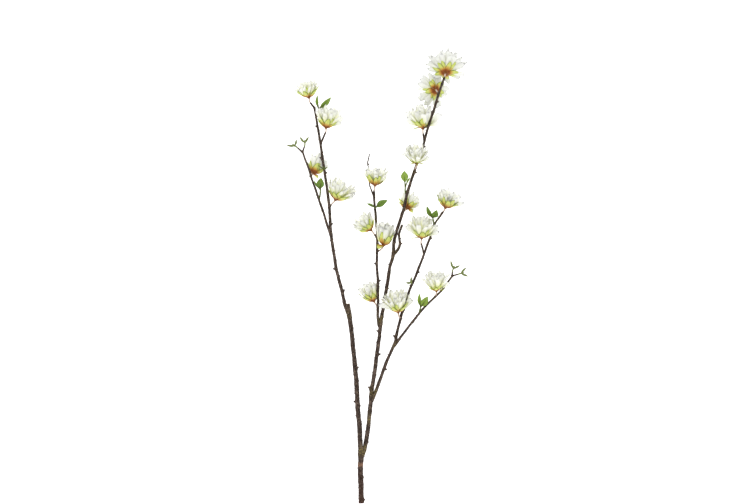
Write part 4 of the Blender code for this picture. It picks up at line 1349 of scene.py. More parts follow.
# Places where moss and lichen tint the bark: x, y, how far they reach and their strength
MOSS = ((-0.0375, -0.461, 0.013, 1.3), (-0.019, -0.377, 0.012, 0.9), (-0.010, -0.304, 0.013, 0.8),
        (0.010, -0.114, 0.012, 0.8), (0.046, -0.182, 0.012, 0.6), (-0.078, -0.098, 0.014, 0.5),
        (0.0, 0.13, 0.035, 0.5), (0.05, 0.06, 0.02, 0.4), (0.10, 0.30, 0.03, 0.3),
        (0.15, 0.13, 0.03, 0.4), (0.17, -0.03, 0.03, 0.4))


def gauss(distance: np.ndarray) -> np.ndarray:
    """Return the bell curve of a distance: 1 at 0 and 0.37 at 1."""
    return np.exp(-distance ** 2)


def angle_between(angles: np.ndarray, side: float) -> np.ndarray:
    """Return the least turn in radians from each angle to a side."""
    return np.abs((angles - side + math.pi) % (2 * math.pi) - math.pi)


@dataclass(frozen=True)
class LeafScars:
    """Leaf scars along a run: a raised ring, a groove after it and a bud's bump to one side.

    First, step and turn are the spans of seeded draws for the first place, the next and the turn
    between them in degrees. Ring and bump are shares of the radius, the groove is a share of the
    ring, and the bump's width is in radians.
    """

    first: tuple = (0.010, 0.026)
    step: tuple = (0.016, 0.034)
    turn: tuple = (120, 220)
    end_clear: float = 0.006
    ring: float = 0.085
    ring_width: float = 0.0010
    groove: float = 0.5
    groove_after: float = 0.0022
    groove_width: float = 0.0011
    bump: float = 0.30
    bump_after: float = 0.0012
    bump_length: float = 0.0026
    bump_width: float = 0.8

    def added(self, thick: np.ndarray, taper: np.ndarray, along: np.ndarray,
              angles: np.ndarray, draw: random.Random) -> np.ndarray:
        """Return a run's radii with the scars added, each a sum of bell curves of distance.

        Args:
            thick: the radii by ring and angle.
            taper: the tapered radius of each ring.
            along: the length from the root to each ring.
            angles: the angles round the run.
            draw: the seeded draws.

        Returns:
            The radii with the scars.
        """
        place, side = draw.uniform(*self.first), draw.uniform(0, 360)
        while place < along[-1, 0] - self.end_clear:
            past = along - place
            ring = gauss(past / self.ring_width)
            ring = ring - self.groove * gauss((past - self.groove_after) / self.groove_width)
            turn = angle_between(angles, math.radians(side % 360))
            bump = gauss((past - self.bump_after) / self.bump_length)
            bump = bump * gauss(turn / self.bump_width)
            thick = thick + taper * (self.ring * ring + self.bump * bump)
            place += draw.uniform(*self.step)
            side += draw.uniform(*self.turn)
        return thick


# The sway of a run's axis: how far, over what length, and its seeds
SWAY = 0.0005
SWAY_LENGTH = 0.055
SWAY_SEEDS = (11, 12, 13)

# Swellings of the bark as shares of the radius, each with its reach in metres where it has one
COARSE_SWELL = 0.085
FINE_SWELL = 0.055
ROOT_SWELL = (0.35, 0.012)
FORK_SWELL = (0.20, 0.009)

# The runs that carry on from the foot, and so have no swelling where they start
FIRST_RUNS = ("foot", "left_stem", "right_stem")

# A knot's height as a share of its radius and its width in radians, and the bud that it bears
KNOT_HEIGHT = 0.55
KNOT_WIDTH = 0.85
KNOT_BUD = (1.15, 0.66, 66.0)

# Pegs: the length between rings, and the radii and sides of those of blossoms and of greens
PEG_PITCH = 0.0007
BLOSSOM_PEG = ((0.0028, 0.0024), 14)
GREEN_PEG = ((0.0026, 0.0020), 12)

# Swells of a peg as shares of its radius: lumps, scars, and the root with its reach in metres
PEG_LUMPS = 0.08
PEG_SCAR_SWELL = 0.09
PEG_ROOT_SWELL = (0.30, 0.004)

# Bud scars of a peg: distance from its end, width and height
PEG_SCARS = ((0.0012, 0.0006, 1.0), (0.0034, 0.0007, 0.8))

# Side buds: where they start as a share of the run's radius, and the height of their lumps
SPUR_START = 0.45
SPUR_LUMPS = 0.00010

# Shares of a side bud's radius: its first ring, the fall to its tip and the swell between
SPUR_TAPER = (1.25, 0.55, 0.25)


@dataclass
class Wood:
    """The branch's wood: every run with its knots, leaf scars, side buds, pegs and cut ends."""

    coarse: Lumps = Lumps(0.021, 3)
    fine: Lumps = Lumps(0.0065, 4)
    scars: LeafScars = LeafScars()
    shape: Shape = field(default_factory=Shape)
    routes: dict = field(default_factory=dict)

    def trace(self, around: Surroundings) -> None:
        """Work out every run's axis, with a slight seeded sway, and let petals keep clear."""
        for name, run in WOOD.items():
            route = smooth_route(run.points, RING_PITCH)
            share = even(len(route))
            fade = np.minimum(1.0, 6 * np.minimum(share, 1 - share))
            sway = np.column_stack([Lumps(SWAY_LENGTH, seed).at(route) for seed in SWAY_SEEDS])
            route = route + SWAY * sway * fade[:, None]
            self.routes[name] = route
            around.add_route(route[::3], run.radius_at(share)[::3])

    def roots(self, name: str) -> np.ndarray:
        """Return where the other runs leave this one."""
        return np.array([route[5] for other, route in self.routes.items() if other != name])

    def thickness(self, name: str) -> np.ndarray:
        """Work out a run's radius at every ring and angle.

        It is the tapered radius times 1 plus the coarse and fine lumps, plus a flare at the
        root, a swelling where another run leaves, the leaf scars, and a mound for each knot.
        Every addition is a bell curve of distance.

        Args:
            name: the run.

        Returns:
            The radii by ring and angle.
        """
        run, route = WOOD[name], self.routes[name]
        along = lengths_along(route)[:, None]
        taper = run.radius_at(along / along[-1])
        angles = round_angles(run.sides)[None, :]
        circles, _ = rings(route, taper, run.sides)
        thick = taper * (1.0 + COARSE_SWELL * self.coarse.at(circles)
                         + FINE_SWELL * self.fine.at(circles))
        thick = thick + np.interp(run.first_radius, *BARK_DEPTHS)
        if name not in FIRST_RUNS:
            thick = thick * (1.0 + ROOT_SWELL[0] * gauss(along / ROOT_SWELL[1]))
        away = np.linalg.norm(route[:, None, :] - self.roots(name), axis=-1).min(axis=1)
        thick = thick * (1.0 + FORK_SWELL[0] * gauss(away[:, None] / FORK_SWELL[1]))
        draw = random.Random(len(name) + len(route))
        thick = self.scars.added(thick, taper, along, angles, draw)
        for knot in KNOTS.get(name, ()):
            turn = angle_between(angles, math.radians(knot.side % 360))
            mound = gauss((along - knot.share * along[-1]) / knot.radius)
            thick = thick + KNOT_HEIGHT * knot.radius * mound * gauss(turn / KNOT_WIDTH)
        return thick

    def tones(self, circles: np.ndarray) -> np.ndarray:
        """Return how mossy the bark is at each point: the largest bell curve round a place."""
        mossy = [strength * gauss(np.hypot(circles[..., 0] - x, circles[..., 1] - y) / reach)
                 for x, y, reach, strength in MOSS]
        return np.max(mossy, axis=0)

    def add(self, circles: np.ndarray, route: np.ndarray, start: EndForm, end: EndForm) -> None:
        """Close a run's ends in their forms and add it.

        Args:
            circles: the run's rings.
            route: the points of its axis.
            start: the form of its start.
            end: the form of its end.
        """
        backward, forward = unit(route[0] - route[1]), unit(route[-1] - route[-2])
        first = np.linalg.norm(circles[0] - route[0], axis=-1).mean()
        last = np.linalg.norm(circles[-1] - route[-1], axis=-1).mean()
        head = [(route[0] + backward * first * rise, scale) for rise, scale in start.value[::-1]]
        tail = [(route[-1] + forward * last * rise, scale) for rise, scale in end.value]
        opened = [place + scale * (circles[0] - route[0]) for place, scale in head]
        closed = [place + scale * (circles[-1] - route[-1]) for place, scale in tail]
        circles = np.concatenate([opened, circles, closed])
        circles[..., 2] = np.maximum(circles[..., 2], 0.0)
        route = np.array([place for place, _ in head] + list(route) + [place for place, _ in tail])
        add_rings(self.shape, circles, route, 0, self.tones(circles), start is EndForm.CUT,
                  end is EndForm.CUT)

    def add_peg(self, root: tuple, end: tuple, radii: tuple, sides: int) -> None:
        """Add a short woody twig that carries a blossom or a green stalk.

        Its root flares into the bark, and two raised rings of bud scars stand near its end.

        Args:
            root: where it leaves the wood.
            end: its end.
            radii: its radius at both ends.
            sides: points in a ring.
        """
        root, end = np.array(root), np.array(end)
        length = np.linalg.norm(end - root)
        share = even(max(int(length / PEG_PITCH), 8))
        route = root + (end - root) * share[:, None]
        taper = (radii[0] + (radii[1] - radii[0]) * share)[:, None]
        circles, _ = rings(route, taper, sides)
        back = (1 - share)[:, None] * length
        scars = sum(height * gauss((back - place) / width) for place, width, height in PEG_SCARS)
        root_swell, reach = PEG_ROOT_SWELL
        thick = taper * (1.0 + PEG_LUMPS * self.fine.at(circles) + PEG_SCAR_SWELL * scars
                         + root_swell * gauss((length - back) / reach))
        circles, _ = rings(route, thick, sides)
        self.add(circles, route, EndForm.ROUND, EndForm.CUT)

    def add_spur(self, name: str, spur: Spur, form: EndForm) -> None:
        """Add a side bud or a blunt stub that leans along its run.

        It starts inside the run. Its radius falls evenly and swells in the middle with a sine.

        Args:
            name: the run.
            spur: the bud or stub.
            form: the form of its tip.
        """
        route = self.routes[name]
        index = min(int(spur.share * (len(route) - 1)), len(route) - 2)
        tangent = unit(route[index + 1] - route[index])
        right = unit(np.cross(tangent, UP))
        raised = np.cross(right, tangent)
        side, lean = math.radians(spur.side), math.radians(spur.lean)
        out = right * math.cos(side) + raised * math.sin(side)
        way = tangent * math.cos(lean) + out * math.sin(lean)
        radius = WOOD[name].radius_at(spur.share)
        share = even(9)
        start = route[index] + SPUR_START * radius * out
        length = spur.length + 0.5 * radius + BARK_DEPTHS[1][-1]
        axis = start + way * (length * share)[:, None]
        first, fall, swell = SPUR_TAPER
        thick = spur.radius * (first - fall * share + swell * np.sin(math.pi * share))
        circles, _ = rings(axis, thick, 10)
        outward = unit(circles - axis[:, None, :])
        circles = circles + SPUR_LUMPS * self.fine.at(circles)[..., None] * outward
        self.add(circles, axis, EndForm.ROUND, form)

    def build(self, materials: dict) -> bpy.types.Object:
        """Make the wood as one piece."""
        for name, run in WOOD.items():
            circles, _ = rings(self.routes[name], self.thickness(name), run.sides)
            self.add(circles, self.routes[name],
                     EndForm.CUT if name == "foot" else EndForm.ROUND,
                     EndForm.CUT if name == "left_stem" else EndForm.ROUND)
        for blossom in BLOSSOMS:
            self.add_peg(blossom.twig_root, blossom.twig_end, *BLOSSOM_PEG)
        for green in LEAF_SHOOTS + SPROUTS:
            self.add_peg(green.peg_root, green.peg_end, *GREEN_PEG)
        length, radius, lean = KNOT_BUD
        for name, knots in KNOTS.items():
            for knot in knots:
                bud = Spur(knot.share, knot.side, length * knot.radius, radius * knot.radius, lean)
                self.add_spur(name, bud, EndForm.ROUND)
        for name, spurs in SPURS.items():
            for spur in spurs:
                self.add_spur(name, spur, EndForm.POINTED)
        return self.shape.make("bark_wood", [materials["bark"], materials["cut"]])


SPURS = {
    "left_stem": (Spur(0.22, 0, 0.0030, 0.0012), Spur(0.47, 180, 0.0032, 0.0012),
                  Spur(0.76, 10, 0.0030, 0.0011)),
    "left_upper_stem": (Spur(0.20, 0, 0.0034, 0.0011), Spur(0.32, 10, 0.0032, 0.0010),
                        Spur(0.37, 180, 0.0030, 0.0010), Spur(0.83, 0, 0.0032, 0.0010)),
    "right_stem": (Spur(0.12, 0, 0.0034, 0.0012), Spur(0.22, 180, 0.0030, 0.0012),
                   Spur(0.44, 0, 0.0034, 0.0012), Spur(0.50, 180, 0.0034, 0.0011),
                   Spur(0.56, 0, 0.0030, 0.0011), Spur(0.86, 180, 0.0030, 0.0010)),
    "middle_stem": (Spur(0.22, 180, 0.0030, 0.0010), Spur(0.62, 0, 0.0032, 0.0010)),
    "right_branch": (Spur(0.24, 180, 0.0032, 0.0011), Spur(0.43, 0, 0.0030, 0.0011),
                     Spur(0.60, 180, 0.0030, 0.0010)),
    "far_right_branch": (Spur(0.32, 0, 0.0030, 0.0010), Spur(0.80, 180, 0.0030, 0.0009)),
    "left_side_twig": (Spur(0.30, 180, 0.0028, 0.0009), Spur(0.70, 180, 0.0028, 0.0009)),
    "stub_twig": (Spur(0.55, 0, 0.0026, 0.0009),),
    "dead_twig": (Spur(0.55, 10, 0.0022, 0.0007),),
}


def linear(red: float, green: float, blue: float) -> tuple:
    """Return a colour of screen values, 0 to 255, as linear light with full alpha."""
    values = np.array([red, green, blue]) / 255
    light = np.where(values <= 0.04045, values / 12.92, ((values + 0.055) / 1.055) ** 2.4)
    return (*light.tolist(), 1.0)


Socket = bpy.types.NodeSocket
Value = Socket | float | tuple


@dataclass
class Graph:
    """Short calls that add nodes to a tree."""

    tree: bpy.types.NodeTree

    def feed(self, node: bpy.types.Node, inputs: dict) -> None:
        """Link sockets to a node's inputs and set the others, by the input's name or number.

        Args:
            node: the node.
            inputs: values or sockets.
        """
        for key, value in inputs.items():
            if isinstance(value, Socket):
                self.tree.links.new(value, node.inputs[key])
            else:
                node.inputs[key].default_value = value

    def node(self, kind: str, inputs: dict | None = None, **settings: object) -> bpy.types.Node:
        """Add a node.

        Args:
            kind: its type name.
            inputs: values or sockets by the input's name or number.
            settings: its properties.

        Returns:
            The node.
        """
        node = self.tree.nodes.new(kind)
        for name, value in settings.items():
            setattr(node, name, value)
        self.feed(node, inputs or {})
        return node

    def math(self, operation: str, *values: Value, clamp: bool = False) -> Socket:
        """Return the result of a sum on values."""
        return self.node("ShaderNodeMath", dict(enumerate(values)), operation=operation,
                         use_clamp=clamp).outputs[0]

    def times(self, first: Value, second: Value) -> Socket:
        """Return the product of two values."""
        return self.math("MULTIPLY", first, second)

    def apart(self, first: Value, second: Value) -> Socket:
        """Return the distance between two values."""
        return self.math("ABSOLUTE", self.math("SUBTRACT", first, second))

    def span(self, value: Value, low: float, high: float, to_low: float = 0.0,
             to_high: float = 1.0) -> Socket:
        """Return a value carried from one span to another, held at its ends."""
        inputs = {0: value, 1: low, 2: high, 3: to_low, 4: to_high}
        return self.node("ShaderNodeMapRange", inputs, interpolation_type="SMOOTHSTEP").outputs[0]

    def stretch(self, vector: Socket, scale: tuple) -> Socket:
        """Return a vector times a scale for each axis."""
        return self.node("ShaderNodeVectorMath", {0: vector, 1: scale},
                         operation="MULTIPLY").outputs[0]

    def noise(self, vector: Socket, scale: float, detail: float = 3.0,
              roughness: float = 0.55) -> Socket:
        """Return a noise value from 0 to 1."""
        inputs = {"Vector": vector, "Scale": scale, "Detail": detail, "Roughness": roughness}
        return self.node("ShaderNodeTexNoise", inputs).outputs[0]

    def mix(self, factor: Value, first: Value, second: Value) -> Socket:
        """Return a mix of two colours."""
        return self.node("ShaderNodeMix", {0: factor, 6: first, 7: second},
                         data_type="RGBA").outputs[2]

    def ramp(self, value: Socket, stops: tuple) -> Socket:
        """Return a colour read from stops, each a place and a colour, in their order.

        Args:
            value: the place to read.
            stops: places and colours.

        Returns:
            The colour.
        """
        node = self.node("ShaderNodeValToRGB", {0: value})
        node.color_ramp.interpolation = "EASE"
        elements = node.color_ramp.elements
        for element, (place, colour) in zip(elements, (stops[0], stops[-1])):
            element.position, element.color = place, colour
        for place, colour in stops[1:-1]:
            elements.new(place).color = colour
        return node.outputs[0]

    def bump(self, height: Socket, strength: float, distance: float) -> Socket:
        """Return a normal tilted by a height."""
        inputs = {"Strength": strength, "Distance": distance, "Height": height}
        return self.node("ShaderNodeBump", inputs).outputs[0]

    def parts(self, vector: Socket) -> bpy.types.NodeOutputs:
        """Return a vector's three numbers."""
        return self.node("ShaderNodeSeparateXYZ", {0: vector}).outputs

    def object_place(self) -> Socket:
        """Return the place in the object's own frame."""
        return self.node("ShaderNodeTexCoord").outputs["Object"]

    def uv_place(self) -> Socket:
        """Return the place on the UV map."""
        return self.node("ShaderNodeUVMap", uv_map="UVMap").outputs[0]

    def tone(self) -> Socket:
        """Return the surface's tone."""
        return self.node("ShaderNodeAttribute", attribute_name="tone").outputs["Fac"]


def new_group(name: str, inputs: dict, outputs: tuple) -> tuple:
    """Make an empty node group.

    Args:
        name: its name.
        inputs: the type of each input by its name.
        outputs: the name of each output, all of them numbers.

    Returns:
        The tree, its graph, its input node and its output node.
    """
    tree = bpy.data.node_groups.new(name, "ShaderNodeTree")
    for label, kind in inputs.items():
        tree.interface.new_socket(label, in_out="INPUT", socket_type="NodeSocket" + kind)
    for label in outputs:
        tree.interface.new_socket(label, in_out="OUTPUT", socket_type="NodeSocketFloat")
    graph = Graph(tree)
    return tree, graph, graph.node("NodeGroupInput").outputs, graph.node("NodeGroupOutput")


def petal_veins() -> bpy.types.NodeTree:
    """Make the group that reads a blade's UV place and its tone.

    Streaks are noise drawn out along the blade. The edge is the nearness to the sides and the
    tip, and the height of the fine veins is a sine across the blade.
    """
    tree, graph, given, made = new_group(
        "blade_veins", {"UV": "Vector", "Tone": "Float"}, ("Streak", "Edge", "Height", "Length"))
    across, along, _ = graph.parts(given["UV"])
    place = graph.node("ShaderNodeCombineXYZ", {
        0: graph.times(across, 13.0), 1: graph.times(along, 1.6),
        2: graph.times(given["Tone"], 37.0)}).outputs[0]
    past_claw = graph.span(along, 0.12, 0.42)
    streak = graph.times(past_claw, graph.span(graph.noise(place, 1.0), 0.32, 0.68))
    sides = graph.times(past_claw, graph.span(graph.apart(across, 0.5), 0.31, 0.48))
    edge = graph.math("MAXIMUM", sides, graph.span(along, 0.92, 0.985))
    waves = graph.math("SINE", graph.times(across, 56.0))
    height = graph.math("MULTIPLY_ADD", waves, 0.5, 0.5)
    graph.feed(made, {"Streak": streak, "Edge": edge, "Height": height, "Length": along})
    return tree


def bark_relief() -> bpy.types.NodeTree:
    """Make the group that reads a place in space and puts out patches, grain, pores and height.

    Patches are broad noise. Grain is noise drawn out along Y, the way the branch grows. Pores
    are small cells of a Voronoi pattern. The height is grain less cracks plus pores.
    """
    tree, graph, given, made = new_group(
        "bark_relief", {"Vector": "Vector"}, ("Patches", "Grain", "Pores", "Height"))
    vector = given[0]
    patches = graph.noise(graph.stretch(vector, (1.0, 0.55, 1.0)), 95.0, 4.0, 0.6)
    grain = graph.noise(graph.stretch(vector, (1.0, 0.22, 1.0)), 620.0, 4.0, 0.62)
    cells = graph.node("ShaderNodeTexVoronoi", {
        "Vector": graph.stretch(vector, (1.0, 0.8, 1.0)), "Scale": 330.0, "Randomness": 1.0})
    pores = graph.span(cells.outputs["Distance"], 0.16, 0.30, 1.0, 0.0)
    cracks = graph.span(graph.apart(grain, 0.5), 0.0, 0.06, 1.0, 0.0)
    height = graph.math("ADD", graph.math("SUBTRACT", grain, graph.times(cracks, 0.35)),
                        graph.times(pores, 0.4))
    graph.feed(made, {"Patches": patches, "Grain": grain, "Pores": pores, "Height": height})
    return tree


def new_material(name: str) -> tuple:
    """Make a material and return it with its graph and its Principled shader."""
    material = bpy.data.materials.new(name)
    material.use_nodes = True
    shader = next(node for node in material.node_tree.nodes if node.type == "BSDF_PRINCIPLED")
    return material, Graph(material.node_tree), shader


@dataclass(frozen=True)
class BarkFinish:
    """Knobbly bark: brown patches, greyish grain, pale pores, mossy places, a redder foot and
    one orange band below the first fork."""

    dark: tuple = linear(20, 14, 12)
    brown: tuple = linear(52, 40, 33)
    light: tuple = linear(104, 88, 80)
    pore: tuple = linear(150, 132, 112)
    moss: tuple = linear(158, 144, 80)
    red: tuple = linear(62, 34, 26)
    band: tuple = linear(152, 116, 94)
    fleck_scale: float = 290.0
    moss_scale: float = 320.0
    wave_scale: float = 260.0
    wave_height: float = 0.006
    band_below: float = 0.498
    foot_span: tuple = (-0.62, -0.44)

    def material(self, relief: bpy.types.NodeTree) -> bpy.types.Material:
        """Make the material: grain, flecks, the red of the foot, moss and the band over patches.

        Args:
            relief: the bark's shared group.

        Returns:
            The material.
        """
        material, graph, shader = new_material("bark")
        place = graph.object_place()
        bark = graph.node("ShaderNodeGroup", {"Vector": place}, node_tree=relief).outputs
        grain = bark["Grain"]
        colour = graph.ramp(bark["Patches"],
                            ((0.30, self.dark), (0.50, self.brown), (0.74, self.light)))
        colour = graph.mix(graph.span(grain, 0.40, 0.75, 0.0, 0.55), colour, self.light)
        colour = graph.mix(graph.span(grain, 0.28, 0.48, 0.65, 0.0), colour, self.dark)
        flecks = graph.noise(graph.stretch(place, (1.0, 0.6, 1.0)), self.fleck_scale, 2.0)
        pale = graph.math("MAXIMUM", graph.times(graph.span(flecks, 0.56, 0.68), 0.6),
                          graph.times(bark["Pores"], 0.5))
        colour = graph.mix(pale, colour, self.pore)
        height = graph.parts(place)[1]
        colour = graph.mix(graph.span(height, *self.foot_span, 0.55, 0.0), colour, self.red)
        patchy = graph.span(graph.noise(place, self.moss_scale, 4.0, 0.7), 0.48, 0.58)
        mossy = graph.math("MULTIPLY", graph.tone(), patchy, clamp=True)
        colour = graph.mix(graph.times(mossy, 0.7), colour, self.moss)
        wave = graph.math("SUBTRACT", graph.noise(place, self.wave_scale), 0.5)
        level = graph.math("ADD", graph.math("ADD", height, self.band_below),
                           graph.times(wave, self.wave_height))
        off = graph.math("ABSOLUTE", level)
        ringed = graph.times(graph.span(off, 0.0015, 0.0085, 0.9, 0.0),
                             graph.span(grain, 0.25, 0.60, 0.25, 0.85))
        graph.feed(shader, {
            "Base Color": graph.mix(ringed, colour, self.band),
            "Roughness": graph.span(grain, 0.3, 0.7, 0.92, 0.68),
            "Normal": graph.bump(bark["Height"], 0.7, 0.0006), "Specular IOR Level": 0.2})
        return material


@dataclass(frozen=True)
class CutFinish:
    """The pale face of cut wood, with darker blotches."""

    pale: tuple = linear(188, 160, 120)
    blotch: tuple = linear(140, 108, 74)
    scale: float = 900.0

    def material(self) -> bpy.types.Material:
        """Make the material from noise in space."""
        material, graph, shader = new_material("cut_wood")
        blotches = graph.noise(graph.object_place(), self.scale)
        graph.feed(shader, {
            "Base Color": graph.mix(graph.span(blotches, 0.35, 0.65), self.pale, self.blotch),
            "Normal": graph.bump(blotches, 0.4, 0.0003), "Roughness": 0.85})
        return material


@dataclass(frozen=True)
class BladeFinish:
    """A thin blade: colours along its length, what its edges and streaks turn to, and the grey of
    the painted shade that blades with a tone below 0 get."""

    name: str
    stops: tuple
    edge: tuple
    edge_share: float
    streak: tuple
    streak_share: float
    roughness: float = 0.55
    translucency: float = 0.0
    bump: float = 0.35
    tone_shift: float = 0.0
    # The grey of the painted shade
    shade: tuple = linear(158, 158, 150)

    def material(self, veins: bpy.types.NodeTree) -> bpy.types.Material:
        """Make the material from the blade's UV map and its tone.

        The place in the colours is the length, moved a little by the streaks and by the tone. A
        tone below 0 also mixes in the grey of painted shade.

        Args:
            veins: the blades' shared group.

        Returns:
            The material.
        """
        material, graph, shader = new_material(self.name)
        tone = graph.tone()
        inputs = {"UV": graph.uv_place(), "Tone": tone}
        blade = graph.node("ShaderNodeGroup", inputs, node_tree=veins).outputs
        moved = graph.times(graph.math("SUBTRACT", blade["Streak"], 0.5), 0.10)
        length = graph.math("ADD", blade["Length"], moved)
        length = graph.math("SUBTRACT", length, graph.times(tone, self.tone_shift))
        colour = graph.ramp(length, self.stops)
        colour = graph.mix(graph.times(blade["Streak"], self.streak_share), colour, self.streak)
        colour = graph.mix(graph.times(blade["Edge"], self.edge_share), colour, self.edge)
        # Painted shade: a tone below 0 mixes in up to 0.30 of the shade grey
        graph.feed(shader, {
            "Base Color": graph.mix(graph.span(tone, -1.0, 0.0, 0.30, 0.0), colour, self.shade),
            "Normal": graph.bump(blade["Height"], self.bump, 0.00025),
            "Roughness": self.roughness, "Specular IOR Level": 0.2,
            "Subsurface Weight": self.translucency, "Subsurface Radius": (1.0, 1.0, 1.0),
            "Subsurface Scale": 0.0015})
        return material


@dataclass(frozen=True)
class LeafFinish:
    """A leaf with a pale midrib, slanting side veins and a darker margin; its tone turns it
    from mid green to lime."""

    green: tuple = linear(96, 130, 40)
    dark: tuple = linear(56, 88, 16)
    lime: tuple = linear(148, 176, 72)
    vein: tuple = linear(158, 180, 90)
    vein_slant: float = 0.42
    vein_waves: float = 36.0
    mottle_scale: float = 320.0

    def material(self) -> bpy.types.Material:
        """Make the material.

        Side veins are a wave of the length less the slant times the distance from the midrib.
        """
        material, graph, shader = new_material("leaf")
        across, along, _ = graph.parts(graph.uv_place())
        away = graph.apart(across, 0.5)
        slant = graph.math("SUBTRACT", along, graph.times(away, self.vein_slant))
        wave = graph.math("ABSOLUTE", graph.math("SINE", graph.times(slant, self.vein_waves)))
        veins = graph.span(wave, 0.0, 0.28, 0.75, 0.0)
        midrib = graph.span(away, 0.02, 0.07, 1.0, 0.0)
        mottle = graph.noise(graph.object_place(), self.mottle_scale, 4.0)
        colour = graph.mix(graph.span(mottle, 0.36, 0.66), self.dark, self.green)
        colour = graph.mix(graph.times(graph.tone(), 0.85), colour, self.lime)
        colour = graph.mix(graph.span(away, 0.36, 0.5, 0.0, 0.4), colour, self.dark)
        colour = graph.mix(graph.times(veins, 0.45), colour, self.vein)
        height = graph.math("SUBTRACT", graph.times(mottle, 0.4),
                            graph.math("MAXIMUM", veins, midrib))
        graph.feed(shader, {
            "Base Color": graph.mix(graph.times(midrib, 0.8), colour, self.vein),
            "Normal": graph.bump(height, 0.5, 0.0003), "Roughness": 0.42,
            "Specular IOR Level": 0.25, "Subsurface Weight": 0.08, "Subsurface Scale": 0.001})
        return material


@dataclass(frozen=True)
class StemFinish:
    """A soft round part with colours from its start to its end and small blotches."""

    name: str
    stops: tuple
    blotch: tuple
    roughness: float = 0.6
    scale: float = 760.0

    def material(self) -> bpy.types.Material:
        """Make the material from the UV map's length and noise in space."""
        material, graph, shader = new_material(self.name)
        spots = graph.noise(graph.object_place(), self.scale)
        colour = graph.ramp(graph.parts(graph.uv_place())[1], self.stops)
        colour = graph.mix(graph.span(spots, 0.46, 0.70, 0.0, 0.7), colour, self.blotch)
        graph.feed(shader, {
            "Base Color": colour, "Normal": graph.bump(spots, 0.4, 0.0002),
            "Roughness": self.roughness, "Specular IOR Level": 0.2})
        return material


PETAL = BladeFinish(
    "petal",
    ((0.0, linear(228, 235, 116)), (0.14, linear(240, 246, 152)), (0.34, linear(248, 250, 204)),
     (0.56, linear(248, 249, 236)), (0.90, linear(239, 240, 239)), (1.0, linear(221, 221, 221))),
    edge=linear(190, 190, 184), edge_share=0.45, streak=linear(240, 242, 216), streak_share=0.35,
    roughness=0.5, translucency=0.8, bump=0.2, tone_shift=0.22)
TEPAL = BladeFinish(
    "tepal",
    ((0.0, linear(148, 82, 34)), (0.09, linear(184, 124, 54)), (0.22, linear(212, 172, 84)),
     (0.40, linear(216, 224, 130)), (1.0, linear(188, 206, 106))),
    edge=linear(96, 122, 34), edge_share=0.9, streak=linear(184, 190, 84), streak_share=0.45,
    roughness=0.5, translucency=0.4, bump=0.3, tone_shift=0.22)
SPROUT = BladeFinish(
    "sprout",
    ((0.0, linear(104, 110, 62)), (0.35, linear(124, 140, 78)), (0.75, linear(144, 152, 106)),
     (1.0, linear(144, 138, 118))),
    edge=linear(92, 102, 50), edge_share=0.55, streak=linear(104, 112, 62), streak_share=0.5,
    roughness=0.6, translucency=0.05)
STEMS = (
    StemFinish("stamen", ((0.0, linear(188, 196, 110)), (1.0, linear(196, 160, 92))),
               linear(160, 130, 70)),
    StemFinish("cup", ((0.0, linear(128, 80, 42)), (1.0, linear(134, 82, 36))),
               linear(100, 56, 26)),
    StemFinish("pedicel", ((0.0, linear(134, 106, 92)), (0.45, linear(216, 198, 186)),
                           (1.0, linear(180, 144, 110))), linear(186, 160, 146)),
    StemFinish("stalk", ((0.0, linear(82, 88, 44)), (1.0, linear(104, 124, 52))),
               linear(70, 78, 38)),
)


def make_materials() -> dict:
    """Make every finish and return the materials by name."""
    veins = petal_veins()
    materials = {"bark": BarkFinish().material(bark_relief()), "cut": CutFinish().material(),
                 "leaf": LeafFinish().material()}
    materials.update((finish.name, finish.material(veins)) for finish in (PETAL, TEPAL, SPROUT))
    materials.update((finish.name, finish.material()) for finish in STEMS)
    return materials


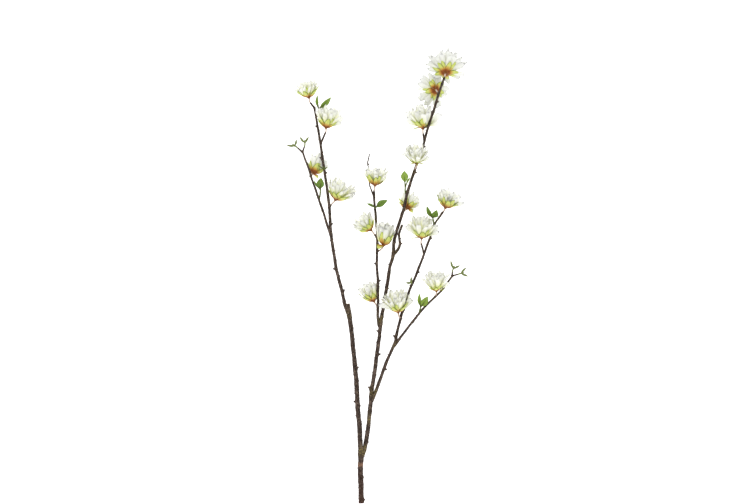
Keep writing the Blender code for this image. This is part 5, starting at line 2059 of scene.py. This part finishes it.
@dataclass(frozen=True)
class Studio:
    """A white floor, even light from all round, a large soft lamp, and a camera overhead."""

    floor_half: float = 20.0
    floor_drop: float = 0.0004
    floor_glow: float = 0.85
    sky: float = 0.96
    lamp_place: tuple = (-0.7, 0.7, 2.3)
    lamp_size: float = 1.8
    lamp_power: float = 9.0

    def build_floor(self) -> None:
        """Make the pale floor. It looks white to the camera and gives other rays less light."""
        half = self.floor_half
        mesh = bpy.data.meshes.new("floor")
        corners = [(-half, -half, 0.0), (half, -half, 0.0), (half, half, 0.0), (-half, half, 0.0)]
        mesh.from_pydata(corners, [], [(0, 1, 2, 3)])
        floor = add_to_scene("floor", mesh)
        floor.location = (0.0, 0.0, -self.floor_drop)
        material, graph, shader = new_material("floor")
        seen = graph.node("ShaderNodeLightPath").outputs["Is Camera Ray"]
        graph.feed(shader, {
            "Base Color": (0.8, 0.8, 0.8, 1.0), "Roughness": 1.0, "Specular IOR Level": 0.0,
            "Emission Color": (1.0, 1.0, 1.0, 1.0),
            "Emission Strength": graph.span(seen, 0.0, 1.0, self.floor_glow, 1.0)})
        mesh.materials.append(material)

    def build_light(self) -> None:
        """Make the world's even light and one large lamp to the upper left."""
        world = bpy.data.worlds.new("studio")
        world.use_nodes = True
        background = next(node for node in world.node_tree.nodes if node.type == "BACKGROUND")
        background.inputs["Color"].default_value = (1.0, 1.0, 1.0, 1.0)
        background.inputs["Strength"].default_value = self.sky
        bpy.context.scene.world = world
        data = bpy.data.lights.new("softbox", "AREA")
        data.shape, data.size, data.energy = "DISK", self.lamp_size, self.lamp_power
        lamp = add_to_scene("softbox", data)
        lamp.location = self.lamp_place
        aim = Vector(VIEW_CENTRE) - Vector(lamp.location)
        lamp.rotation_euler = aim.to_track_quat("-Z", "Y").to_euler()

    def build_camera(self) -> None:
        """Make the camera, straight above with +Y upward in the picture."""
        data = bpy.data.cameras.new("camera")
        data.sensor_width = SENSOR_WIDTH
        data.lens = SENSOR_WIDTH * CAMERA_DISTANCE / VIEW_WIDTH
        data.clip_start, data.clip_end = 0.1, 100.0
        camera = add_to_scene("camera", data)
        camera.location = (VIEW_CENTRE[0], VIEW_CENTRE[1], VIEW_CENTRE[2] + CAMERA_DISTANCE)
        bpy.context.scene.camera = camera

    def build(self) -> None:
        """Make the whole studio and set how light becomes screen colour."""
        self.build_floor()
        self.build_light()
        self.build_camera()
        view = bpy.context.scene.view_settings
        view.view_transform, view.look = "Standard", "None"
        view.exposure, view.gamma = 0.0, 1.0


def place(piece: bpy.types.Object, node: str, slot: str) -> None:
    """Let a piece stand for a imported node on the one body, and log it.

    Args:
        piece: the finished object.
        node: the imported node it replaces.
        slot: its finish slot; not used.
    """
    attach(piece, "root")
    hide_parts(node)
    log.info("%s for %s: %d faces", piece.name, node, len(piece.data.polygons))


def main() -> None:
    """Build every piece and the studio."""
    logging.basicConfig(level=logging.INFO, format="%(message)s")
    materials = make_materials()
    around, wood = Surroundings(), Wood()
    wood.trace(around)
    for green in LEAF_SHOOTS + SPROUTS:
        route = green.route()
        around.add_route(route, np.full(len(route), LEAF_STALK_RADIUS))
    for shoot in LEAF_SHOOTS:
        for grid in shoot.grids():
            around.add_points(grid[::3, ::3])
    for blossom in BLOSSOMS:
        whorls = blossom.blades(around)
        for blades in whorls.values():
            for blade in blades:
                around.add_points(blossom.placed(blade.surface(SAMPLE_SHARES, SAMPLE_ACROSS)))
        number = blossom.number
        place(blossom.build_petals(whorls, materials), "bloom_%02d_petals" % number, "petal")
        place(blossom.build_calyx(whorls, materials), "bloom_%02d_calyx" % number, "calyx")
    for shoot in LEAF_SHOOTS:
        place(shoot.build(materials), "leaf_shoot_%d" % shoot.number, "leaf")
    for sprout in SPROUTS:
        place(sprout.build(materials), "sprout_%d" % sprout.number, "sprout")
    place(wood.build(materials), "branch", "bark")
    Studio().build()


if __name__ == "__main__":
    main()
